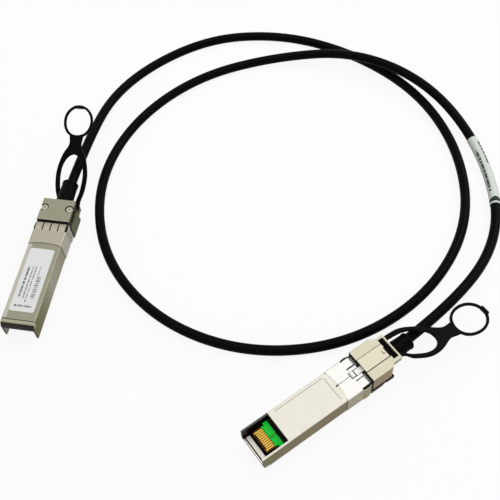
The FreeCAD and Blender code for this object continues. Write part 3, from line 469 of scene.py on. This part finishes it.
def base_metal(plug, panel, shell, side, shade_and_speck):
    """Lower half: floor panel of the nose and backshell, with painted shade on the backshell's
    sides and in its gaps, channel and hollows.
    """
    cast = Casting(plug + "_base_nickel", plug, panel, darker(panel, 0.93), shade_and_speck)
    x, across, z = cast.x, cast.across, cast.z
    cast.tint(cast.zone((x, SHELL_FRONT, None)), shell)
    # Painted shade on the backshell's sides, darker still towards their rear.
    cast.tint(cast.zone((x, SHELL_FRONT, None), (across, 6.72, None), (z, -1.7, None)), side)
    cast.tint(cast.zone((x, SHELL_REAR - 1.75, None), (across, TONGUE_HALF, None), (z, -1.7, None)),
              darker(side, 0.8))
    # Painted shade inside the nose, in the seam under the collar and under its fingers.
    cast.paint_shade((x, 11.4, None), (z, 0.2, 5.3), (across, None, INNER_HALF + 0.05))
    cast.paint_shade((x, COLLAR_FRONT, FINGER_CREASE), (across, None, 0.3), (z, None, 0.1))
    cast.paint_shade((x, FINGER_CREASE - 0.1, SHELL_FRONT + 0.06))
    # Painted shade in the gap between the fingers' tips and the backshell.
    cast.tint(cast.zone((x, *GAP_LINE), (across, 2.2, 6.3), (z, -0.1, 0.1)),
              darker(panel, 0.45))
    # Painted shadow along the shallow field's edges.
    for edge in (cast.zone((x, FIELD_START, FIELD_END - 0.3), (cast.y, -FIELD_HALF - 0.02, None),
                           (cast.y, None, 0.17 - FIELD_HALF), (z, 0.02, 0.3)),
                 cast.zone((x, FIELD_END - 0.17, FIELD_END + 0.02),
                           (across, None, FIELD_HALF - 0.5), (z, 0.02, 0.3))):
        cast.tint(edge * 0.75, darker(shell, 0.3))
    # Painted shade in the slider's channel.
    cast.paint_shade((x, SHELL_FRONT, None), (across, None, 5.3), (z, -1.72, 0.8))
    cast.tint(cast.zone((x, SHELL_REAR + 2.84, None), (z, None, -0.8)), shell)
    return cast.finished()


def sheet_metal(name, plug, colour, side, roughness):
    """Rolled sheet: drawn grain along the plug, with a painted side tone for how light falls down
    its sides, lighter on plug A and darker on plug B.
    """
    finish = Finish(name, colour, roughness, 0.35, specular=0.35)
    along = finish.place(turn=-PLUGS[plug]["heading"])
    stretched = finish.node("ShaderNodeVectorMath", {"operation": "MULTIPLY"},
                            {0: along, 1: (260.0, 5200.0, 5200.0)})
    lines = finish.noise(1.0, 3.0, stretched)
    tone = finish.blend(finish.ramp(lines, [(0.3, 0.0), (0.75, 0.3)]), colour,
                        darker(colour, 0.8))
    across = finish.plug_axes(plug)[1].absolute()
    # Painted side tone for how light falls on the sides.
    finish.feed("Base Color", finish.blend(finish.zone((across, BODY_HALF + 0.08, None)), tone,
                                           side))
    finish.feed("Roughness", lines * 0.14 + (roughness - 0.07))
    finish.bump(lines, 0.000012, 0.4)
    return finish.material


def latch_metal(name, plug, colour, shade_and_speck, edge_half):
    """Plated steel of a slider or lever, with painted shade on its edges where it runs in its
    channel and across the latch gap.
    """
    finish = Finish(name, colour, 0.4, 0.35, specular=0.35)
    x, y, _ = finish.plug_axes(plug)
    wear = finish.noise(900.0, 3.0)
    tone = finish.blend(finish.ramp(wear, [(0.3, 0.0), (0.8, 0.3)]), colour, darker(colour, 0.82))
    # Painted shade on the edges in the channel and across the latch gap.
    tone = finish.blend(finish.zone((y, edge_half, None)), tone, shade_and_speck)
    tone = finish.blend(finish.zone((y, None, -edge_half - 0.15)) * 0.6, tone, shade_and_speck)
    tone = finish.blend(finish.zone((x, *LATCH_GAP)), tone, shade_and_speck)
    finish.feed("Base Color", tone)
    finish.feed("Roughness", wear * 0.16 + 0.32)
    return finish.material


def moulded_black(name, colour, roughness, grain_scale, depth):
    """Black plastic or rubber with a fine moulded texture."""
    finish = Finish(name, colour, roughness, specular=0.035)
    grain = finish.noise(grain_scale, 2.0)
    wide = finish.noise(130.0, 2.0)
    finish.feed("Base Color", finish.blend(
        finish.ramp(wide, [(0.35, 0.0), (0.7, 0.5)]), colour, darker(colour, 1.9)))
    finish.feed("Roughness", wide * 0.16 + (roughness - 0.08))
    finish.bump(grain, depth, 0.3)
    return finish.material


def solder_mask(plug, colour, shade_and_speck):
    """Green card: bare brown laminate between the contacts, darker lane, shaded rear."""
    finish = Finish(plug + "_green_board", colour, 0.5, specular=0.05)
    x, y, _ = finish.plug_axes(plug)
    noise = finish.noise(900.0, 2.0)
    tone = finish.blend(finish.ramp(noise, [(0.35, 0.0), (0.65, 0.25)]), colour,
                        darker(colour, 0.7))
    lane = finish.zone((y, 0.1, 1.2), (x, PAD_END + 0.3, None))
    tone = finish.blend(lane * 0.7, tone, darker(colour, 0.3))
    tone = finish.blend(finish.zone((x, CARD_SHADE, None)), tone, shade_and_speck)
    tone = finish.blend(finish.zone((x, None, PAD_END + 0.05)), tone, LAMINATE_BROWN)
    tone = finish.blend(finish.zone((x, PAD_END + 0.05, PAD_END + 0.35)), tone,
                        darker(colour, 0.18))
    finish.feed("Base Color", tone)
    finish.bump(noise, 0.00001, 0.4)
    return finish.material


def plated(name, colour, roughness, scale, metallic=0.6):
    """Bright plating with slight handling marks."""
    finish = Finish(name, colour, roughness, metallic, specular=0.4)
    marks = finish.noise(scale, 3.0)
    finish.feed("Base Color", finish.blend(
        finish.ramp(marks, [(0.3, 0.0), (0.8, 0.35)]), colour, darker(colour, 0.65)))
    finish.feed("Roughness", marks * 0.2 + (roughness - 0.1))
    return finish.material


def plain_solid(name, colour, roughness, scale):
    """Moulded or fired small part with a faint mottle."""
    finish = Finish(name, colour, roughness)
    mottle = finish.noise(scale, 2.0)
    finish.feed("Base Color", finish.blend(
        finish.ramp(mottle, [(0.3, 0.0), (0.8, 0.5)]), colour, darker(colour, 0.75)))
    return finish.material


def dashes(finish, value, rate, seed, share):
    """Blocks of random length along one direction."""
    at = finish.node("ShaderNodeCombineXYZ", None, {"X": value * rate, "Y": seed})
    return finish.noise(1.0, 1.0, at) > share


def label_face(name, paper, ink):
    """White label with generic rules, dashes and a strip of bars, and no lettering."""
    low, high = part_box("plug_a_label")
    finish = Finish(name, paper, 0.5, specular=0.2)
    x, y, _ = finish.axes(finish.place(low))
    across = x * (1.0 / (high[0] - low[0]))
    along = y * (1.0 / (high[1] - low[1]))
    printed = finish.zone((across, 0.66, 0.82), (along, 0.20, 0.56)) * dashes(
        finish, y, 2600.0, 3.0, 0.5)
    for seed, (start, end, low_end, top_end, rate) in enumerate((
            (0.17, 0.25, 0.22, 0.71, 1100.0), (0.355, 0.405, 0.20, 0.71, 1900.0),
            (0.485, 0.525, 0.14, 0.71, 1700.0), (0.66, 0.69, 0.58, 0.71, 2100.0))):
        printed = printed + finish.zone((across, start, end), (along, low_end, top_end)) * dashes(
            finish, y, rate, 11.0 + 7.0 * seed, 0.46)
    printed = printed + finish.zone((along, 0.07, 0.10), (across, 0.13, 0.83)) * dashes(
        finish, x, 1800.0, 57.0, 0.46)
    speck = finish.noise(2600.0, 2.0)
    tone = finish.blend(finish.ramp(speck, [(0.4, 0.0), (0.8, 0.08)]), paper, ink)
    finish.feed("Base Color", finish.blend(printed.clamped() * 0.8, tone, ink))
    finish.bump(speck, 0.000006, 0.3)
    return finish.material


def wrap_face(name, paper, band, ink):
    """Wrapped cable label: grey-white with rows of dashes, a dark band and a pale end."""
    finish = Finish(name, paper, 0.5, specular=0.2)
    u, v, _ = finish.axes(finish.node("ShaderNodeUVMap", {"uv_map": "wrap"}))
    printed = None
    for seed, (middle, half, start, end, rate) in enumerate((
            (0.13, 0.04, 0.20, 0.82, 34.0), (0.335, 0.036, 0.07, 0.42, 46.0),
            (0.425, 0.014, 0.42, 0.86, 26.0))):
        row = finish.zone((v, middle - half, middle + half), (u, start, end)) * dashes(
            finish, u, rate, 5.0 + 9.0 * seed, 0.42)
        printed = row if printed is None else printed + row
    speck = finish.noise(1500.0, 2.0)
    tone = finish.blend(finish.ramp(speck, [(0.4, 0.0), (0.8, 0.12)]), paper, ink)
    tone = finish.blend(printed.clamped() * 0.9, tone, ink)
    wave = (v - 0.25).absolute() * 0.16
    finish.feed("Base Color", finish.blend(finish.zone((u - wave, 0.90, None), (u, None, 0.972)),
                                           tone, band))
    finish.bump(speck, 0.000008, 0.3)
    return finish.material


# --- Pieces -------------------------------------------------------------------------------------
def link(obj):
    bpy.context.scene.collection.objects.link(obj)
    return obj


def cable_curve(sizes, bevel):
    """Smooth centre line through the route's control points."""
    curve = bpy.data.curves.new("cable_line", "CURVE")
    curve.dimensions = "3D"
    curve.resolution_u = 16
    if bevel:
        curve.bevel_depth = sizes.diameter / 2
        curve.bevel_resolution = sizes.sides
    spline = curve.splines.new("NURBS")
    spline.points.add(len(CABLE_ROUTE) - 1)
    for point, place in zip(spline.points, CABLE_ROUTE):
        point.co = (*(c * MM for c in place), 1.0)
    spline.order_u = 3
    spline.use_endpoint_u = True
    return curve


def centre_line(sizes):
    """Points along the cable's own spline with their distance from its start."""
    guide = link(bpy.data.objects.new("cable_guide", cable_curve(sizes, False)))
    bpy.context.view_layer.update()
    mesh = bpy.data.meshes.new_from_object(guide.evaluated_get(
        bpy.context.evaluated_depsgraph_get()))
    points = [v.co.copy() for v in mesh.vertices]
    bpy.data.objects.remove(guide)
    distance = 0.0
    line = [(0.0, points[0])]
    for before, after in zip(points, points[1:]):
        distance += (after - before).length
        line.append((distance, after))
    return line


def point_at(line, distance):
    """Place and direction on the centre line at a distance from its start."""
    for (low, before), (high, after) in zip(line, line[1:]):
        if high >= distance:
            share = (distance - low) / (high - low)
            return before.lerp(after, share), (after - before).normalized()
    return line[-1][1], (line[-1][1] - line[-2][1]).normalized()


# --- Rows of equal pieces -----------------------------------------------------------------------
def row_tree(material, is_round):
    """Geometry nodes that set equal bars or discs side by side, centred on the row's middle."""
    tree = bpy.data.node_groups.new("row_of_pieces", "GeometryNodeTree")
    tree.interface.new_socket("Geometry", in_out="INPUT", socket_type="NodeSocketGeometry")
    for name, kind in (("Count", "NodeSocketInt"), ("Pitch", "NodeSocketFloat"),
                       ("Length", "NodeSocketFloat"), ("Width", "NodeSocketFloat"),
                       ("Thickness", "NodeSocketFloat")):
        tree.interface.new_socket(name, in_out="INPUT", socket_type=kind)
    tree.interface.new_socket("Geometry", in_out="OUTPUT", socket_type="NodeSocketGeometry")

    def add(kind, **settings):
        node = tree.nodes.new(kind)
        for key, value in settings.items():
            setattr(node, key, value)
        return node

    def join(source, target):
        tree.links.new(source, target)

    given = add("NodeGroupInput").outputs
    step = add("ShaderNodeCombineXYZ")
    join(given["Pitch"], step.inputs["Y"])
    span = add("ShaderNodeMath", operation="SUBTRACT")
    join(given["Count"], span.inputs[0])
    span.inputs[1].default_value = 1.0
    half = add("ShaderNodeMath", operation="MULTIPLY")
    join(span.outputs[0], half.inputs[0])
    half.inputs[1].default_value = -0.5
    start = add("ShaderNodeVectorMath", operation="SCALE")
    join(step.outputs[0], start.inputs[0])
    join(half.outputs[0], start.inputs["Scale"])
    line = add("GeometryNodeMeshLine", mode="OFFSET")
    join(given["Count"], line.inputs["Count"])
    join(start.outputs[0], line.inputs["Start Location"])
    join(step.outputs[0], line.inputs["Offset"])
    size = add("ShaderNodeCombineXYZ")
    for axis, name in zip("XYZ", ("Length", "Width", "Thickness")):
        join(given[name], size.inputs[axis])
    if is_round:
        item = add("GeometryNodeMeshCylinder")
        item.inputs["Vertices"].default_value = 16
        item.inputs["Radius"].default_value = 0.5
        item.inputs["Depth"].default_value = 1.0
        shaped = add("GeometryNodeTransform")
        join(item.outputs["Mesh"], shaped.inputs["Geometry"])
        join(size.outputs[0], shaped.inputs["Scale"])
        form = shaped.outputs["Geometry"]
    else:
        item = add("GeometryNodeMeshCube")
        join(size.outputs[0], item.inputs["Size"])
        form = item.outputs["Mesh"]
    spread = add("GeometryNodeInstanceOnPoints")
    join(line.outputs["Mesh"], spread.inputs["Points"])
    join(form, spread.inputs["Instance"])
    real = add("GeometryNodeRealizeInstances")
    join(spread.outputs["Instances"], real.inputs["Geometry"])
    dressed = add("GeometryNodeSetMaterial")
    dressed.inputs["Material"].default_value = material
    join(real.outputs["Geometry"], dressed.inputs["Geometry"])
    join(dressed.outputs["Geometry"], add("NodeGroupOutput").inputs["Geometry"])
    return tree


def grown(name, tree, values):
    """Plain mesh that a geometry tree makes from its named inputs."""
    host = link(bpy.data.objects.new(name, bpy.data.meshes.new(name)))
    modifier = host.modifiers.new("grown", "NODES")
    modifier.node_group = tree
    sockets = {item.name: item.identifier for item in tree.interface.items_tree
               if item.in_out == "INPUT"}
    for key, value in values.items():
        modifier[sockets[key]] = value
    bpy.context.view_layer.update()
    mesh = bpy.data.meshes.new_from_object(host.evaluated_get(
        bpy.context.evaluated_depsgraph_get()))
    host.modifiers.clear()
    bpy.data.objects.remove(host)
    return mesh


class DACC_OT_cable(bpy.types.Operator):
    """Lay the black cable from plug to plug"""
    bl_idname = "dacc.cable"
    bl_label = "Cable"

    def execute(self, context):
        sizes = context.scene.dacc_cable
        colours = context.scene.dacc_colours
        cable = link(bpy.data.objects.new("cable_jacket", cable_curve(sizes, True)))
        cable.data.use_fill_caps = True
        cable.data.materials.append(moulded_black(
            "black_jacket", colours.jacket, 0.42, 2600.0, 0.00002))
        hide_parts("cable")
        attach(cable, ROOT)
        wrap = self.wrap(sizes, colours)
        return {"FINISHED"}

    def wrap(self, sizes, colours):
        """Label rolled once round the jacket."""
        line = centre_line(sizes)
        steps, around = 48, 40
        inner = sizes.diameter / 2 + sizes.wrap_sheet * 0.25
        outer = inner + sizes.wrap_sheet
        mesh = bmesh.new()
        wrap_uv = mesh.loops.layers.uv.new("wrap")
        rings = []
        for k in range(steps + 1):
            place, along = point_at(line, sizes.wrap_start + sizes.wrap_length * k / steps)
            side = along.cross(Vector((0, 0, 1))).normalized()
            up = side.cross(along)
            pair = []
            for radius in (inner, outer):
                spokes = (side * math.cos(a) + up * math.sin(a)
                          for a in (2 * math.pi * j / around for j in range(around)))
                pair.append([mesh.verts.new(place + spoke * radius) for spoke in spokes])
            rings.append(pair)

        def quad(corners, us, vs):
            face = mesh.faces.new(corners)
            face.smooth = True
            for loop, u, v in zip(face.loops, us, vs):
                loop[wrap_uv].uv = (u, v)

        for k in range(steps):
            u0, u1 = k / steps, (k + 1) / steps
            for j in range(around):
                n = (j + 1) % around
                v0, v1 = j / around, (j + 1) / around
                a, b = rings[k][1], rings[k + 1][1]
                quad((a[j], a[n], b[n], b[j]), (u0, u0, u1, u1), (v0, v1, v1, v0))
                a, b = rings[k][0], rings[k + 1][0]
                quad((a[n], a[j], b[j], b[n]), (u0, u0, u1, u1), (v1, v0, v0, v1))
        for k, flip in ((0, False), (steps, True)):
            low, high = rings[k]
            for j in range(around):
                n = (j + 1) % around
                corners = (low[j], low[n], high[n], high[j])
                quad(corners[::-1] if flip else corners, (k / steps,) * 4, (0, 0, 0, 0))
        bmesh.ops.recalc_face_normals(mesh, faces=mesh.faces)
        data = bpy.data.meshes.new("cable_wrap_label")
        mesh.to_mesh(data)
        mesh.free()
        data.materials.append(wrap_face("wrap_paper", tuple(colours.wrap_paper), colours.band,
                                        colours.print_ink))
        wrap = link(bpy.data.objects.new("cable_wrap_label", data))
        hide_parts("cable_label")
        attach(wrap, ROOT)
        return wrap


class DACC_OT_metals(bpy.types.Operator):
    """Finish the castings, collars, latches, slides and screws"""
    bl_idname = "dacc.metals"
    bl_label = "Metal parts"

    def execute(self, context):
        colours = context.scene.dacc_colours
        shade_and_speck = tuple(colours.shade_and_speck)
        covers = {
            "plug_a": cover_metal("plug_a", colours.roof_a, colours.side_a, OLIVE_A, PALE_A,
                                  shade_and_speck, True),
            "plug_b": cover_metal("plug_b", colours.roof_b, colours.side_b, OLIVE_B,
                                  darker(colours.side_b, 1.3), shade_and_speck, False)}
        bases = {
            "plug_a": base_metal("plug_a", colours.roof_a, colours.base_a,
                                 darker(colours.base_a, 0.9), shade_and_speck),
            "plug_b": base_metal("plug_b", colours.roof_b, colours.base_b, SHELL_SIDE_B,
                                 shade_and_speck)}
        for plug, sheet_colour, sheet_side, steel_colour in (
                ("plug_a", colours.sheet_a, SHEET_SIDE_A, colours.roof_a),
                ("plug_b", colours.sheet_b, SHEET_SIDE_B, colours.base_b)):
            sheet = sheet_metal(plug + "_spring_sheet", plug, sheet_colour, sheet_side, 0.42)
            give(plug + "_cover", covers[plug])
            give(plug + "_base", bases[plug])
            give(plug + "_emi_collar", sheet)
            self.leaf(plug, sheet)
            give(plug + "_slider", latch_metal(plug + "_slider_steel", plug, steel_colour,
                                               shade_and_speck, SLIDER_EDGE))
            give(plug + "_latch_lever", latch_metal(plug + "_lever_steel", plug, sheet_colour,
                                                    shade_and_speck, LEVER_EDGE))
            screw = plated(plug + "_screw_steel", darker(sheet_colour, 1.2), 0.3, 900.0)
            for piece in ("pivot_pin", "cover_screws"):
                give(plug + "_" + piece, screw)
        return {"FINISHED"}

    def leaf(self, plug, sheet):
        """Leaf spring under its lever, carried over as an object with a mesh of its own."""
        name = plug + "_latch_spring"
        give(name, sheet)
        data = NODES[name].data.copy()
        leaf = link(bpy.data.objects.new(name + "_leaf", data))
        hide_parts(name)
        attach(leaf, ROOT)
        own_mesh(leaf)


class DACC_OT_card(bpy.types.Operator):
    """Finish the circuit cards, their contacts and wires, and lay traces, vias and pads"""
    bl_idname = "dacc.card"
    bl_label = "Circuit cards"

    def execute(self, context):
        colours = context.scene.dacc_colours
        rows = context.scene.dacc_card
        gold = plated("contact_gold", colours.gold, 0.35, 1500.0, 0.45)
        chip = plain_solid("chip_black", (0.02, 0.02, 0.022), 0.5, 1800.0)
        ceramic = plain_solid("capacitor_tan", (0.42, 0.28, 0.16), 0.55, 2400.0)
        foil = plated("pair_foil", (0.72, 0.72, 0.74), 0.35, 1100.0)
        tin = plated("ferrule_tin", (0.70, 0.67, 0.60), 0.35, 900.0)
        trace = plain_solid("masked_trace", darker(colours.board, 0.78), 0.4, 1600.0)
        for plug in PLUGS:
            board = solder_mask(plug, colours.board, tuple(colours.shade_and_speck))
            for piece, material in (("circuit_card", board), ("edge_contacts", gold),
                                    ("memory_chip", chip), ("capacitors", ceramic),
                                    ("wire_pairs", foil), ("crimp_ferrule", tin)):
                give(plug + "_" + piece, material)
            self.lay(plug, "traces", rows, trace, (8.0, CARD_LOW - 0.012),
                     (2.4, 0.22, 0.024), False)
            self.lay(plug, "vias", rows, trace, (9.3, CARD_LOW - 0.015),
                     (0.44, 0.44, 0.03), True)
            self.lay(plug, "test_pads", rows, gold, (11.6, CARD_HIGH + 0.015),
                     (0.5, 0.5, 0.03), True)
        return {"FINISHED"}

    def lay(self, plug, name, rows, material, start, size, is_round):
        """One row of equal pieces across a card."""
        inputs = {"Count": rows.contact_count, "Pitch": rows.contact_pitch,
                  "Length": size[0] * MM,
                  "Width": size[1] * MM, "Thickness": size[2] * MM}
        mesh = grown("card_" + name, row_tree(material, is_round), inputs)
        along, height = start
        middle = Matrix.Translation((along * MM, 0.0, height * MM))
        lie = PLUGS[plug]
        heading = Matrix.Rotation(lie["heading"], 4, "Z")
        over = Matrix.Rotation(0.0 if lie["up"] > 0 else math.pi, 4, "X")
        mesh.transform(Matrix.Translation(lie["tip"]) @ heading @ over @ middle)
        piece = link(bpy.data.objects.new(plug + "_card_" + name, mesh))
        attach(piece, ROOT)


class DACC_OT_plastics(bpy.types.Operator):
    """Finish the boots, the pull tabs and the module's label"""
    bl_idname = "dacc.plastics"
    bl_label = "Boots, tabs and label"

    def execute(self, context):
        colours = context.scene.dacc_colours
        rubber = moulded_black("boot_rubber", colours.jacket, 0.5, 3200.0, 0.00002)
        plastic = moulded_black("tab_plastic", darker(colours.jacket, 1.2), 0.4, 3600.0, 0.00001)
        for plug in PLUGS:
            give(plug + "_boot", rubber)
            give(plug + "_pull_tab", plastic)
        give("plug_a_label", label_face("module_label", colours.paper, colours.print_ink))
        return {"FINISHED"}


class DACC_OT_stage(bpy.types.Operator):
    """Set up floor, lights and camera"""
    bl_idname = "dacc.stage"
    bl_label = "Stage"

    def execute(self, context):
        values = context.scene.dacc_stage
        self.camera(context, values)
        self.floor()
        self.lights(context, values)
        context.scene.view_settings.view_transform = "Standard"
        return {"FINISHED"}

    def camera(self, context, values):
        look = Vector(values.look_direction).normalized()
        right = look.cross(Vector((0, 0, 1))).normalized()
        up = right.cross(look)
        c, s = math.cos(values.roll), math.sin(values.roll)
        right, up = right * c + up * s, up * c - right * s
        data = bpy.data.cameras.new("camera")
        data.lens = values.lens
        data.sensor_width = 36.0
        data.clip_start = 0.01
        camera = link(bpy.data.objects.new("camera", data))
        turn = Matrix((right, up, -look)).transposed().to_4x4()
        camera.matrix_world = Matrix.Translation(values.camera_place) @ turn
        context.scene.camera = camera

    def floor(self):
        half, low = 3.0, -0.0002
        data = bpy.data.meshes.new("table")
        data.from_pydata([(-half, -half, low), (half, -half, low), (half, half, low),
                          (-half, half, low)], [], [(0, 1, 2, 3)])
        table = link(bpy.data.objects.new("table", data))
        data.materials.append(self.white_surface())

    def white_surface(self):
        """Table that reads white and keeps the shadow, but throws little light back."""
        surface = Finish("white_table", (0.9, 0.9, 0.9), 0.9, specular=0.0)
        seen = self.seen(surface)
        tone = surface.blend(seen, (0.42, 0.42, 0.41), (0.95, 0.95, 0.95))
        surface.feed("Base Color", tone)
        glow = surface.node("ShaderNodeEmission", None, {"Color": WHITE, "Strength": 1.0})
        output = surface.nodes["Material Output"].inputs["Surface"]
        mixed = surface.node("ShaderNodeMixShader", None, {
            0: seen * 0.9, 2: glow})
        surface.links.new(surface.shader.outputs[0], mixed.socket.node.inputs[1])
        surface.links.new(mixed.socket, output)
        return surface.material

    @staticmethod
    def seen(finish):
        """1 for what camera, reflections and glass see, 0 for light thrown on."""
        path = finish.nodes.new("ShaderNodeLightPath")
        parts = [Signal(finish, path.outputs[name]) for name in (
            "Is Camera Ray", "Is Glossy Ray", "Is Transmission Ray")]
        return (parts[0] + parts[1] + parts[2]).clamped()

    def lights(self, context, values):
        world = bpy.data.worlds.new("studio")
        world.use_nodes = True
        nodes, links = world.node_tree.nodes, world.node_tree.links
        background = nodes["Background"]
        background.inputs["Color"].default_value = WHITE
        path = nodes.new("ShaderNodeLightPath")
        strength = nodes.new("ShaderNodeMapRange")
        strength.inputs["To Min"].default_value = values.fill
        strength.inputs["To Max"].default_value = 1.0
        total = path.outputs["Is Camera Ray"]
        for name in ("Is Glossy Ray", "Is Transmission Ray"):
            added = nodes.new("ShaderNodeMath")
            links.new(total, added.inputs[0])
            links.new(path.outputs[name], added.inputs[1])
            total = added.outputs[0]
        links.new(total, strength.inputs["Value"])
        links.new(strength.outputs[0], background.inputs["Strength"])
        context.scene.world = world
        for name, place, size, power in (
                ("key_light", (0.42, 0.46, 0.62), 0.5, values.key_power),
                ("top_light", (-0.15, 0.10, 0.85), 0.6, values.key_power * 0.6)):
            data = bpy.data.lights.new(name, "AREA")
            data.shape = "DISK"
            data.size = size
            data.energy = power
            lamp = link(bpy.data.objects.new(name, data))
            aim = (-Vector(place)).to_track_quat("-Z", "Y").to_matrix().to_4x4()
            lamp.matrix_world = Matrix.Translation(place) @ aim


class DACC_PT_panel(bpy.types.Panel):
    bl_label = "Copper Cable"
    bl_idname = "DACC_PT_panel"
    bl_space_type = "VIEW_3D"
    bl_region_type = "UI"
    bl_category = "Copper Cable"

    def draw(self, context):
        for name in GROUPS:
            group = getattr(context.scene, name)
            for key in group.__annotations__:
                self.layout.prop(group, key)
        for operator in OPERATORS:
            self.layout.operator(operator.bl_idname)


OPERATORS = (DACC_OT_stage, DACC_OT_cable, DACC_OT_metals, DACC_OT_card, DACC_OT_plastics)
GROUPS = {"dacc_cable": CableSizes, "dacc_card": CardRows, "dacc_colours": FinishColours,
          "dacc_stage": StageValues}


def register():
    for cls in (*GROUPS.values(), *OPERATORS, DACC_PT_panel):
        bpy.utils.register_class(cls)
    for name, group in GROUPS.items():
        setattr(bpy.types.Scene, name, PointerProperty(type=group))


def unregister():
    for name in GROUPS:
        delattr(bpy.types.Scene, name)
    for cls in (DACC_PT_panel, *OPERATORS, *GROUPS.values()):
        bpy.utils.unregister_class(cls)


def main():
    register()
    bpy.ops.dacc.stage()
    bpy.ops.dacc.cable()
    bpy.ops.dacc.metals()
    bpy.ops.dacc.card()
    bpy.ops.dacc.plastics()


if __name__ == "__main__":
    main()
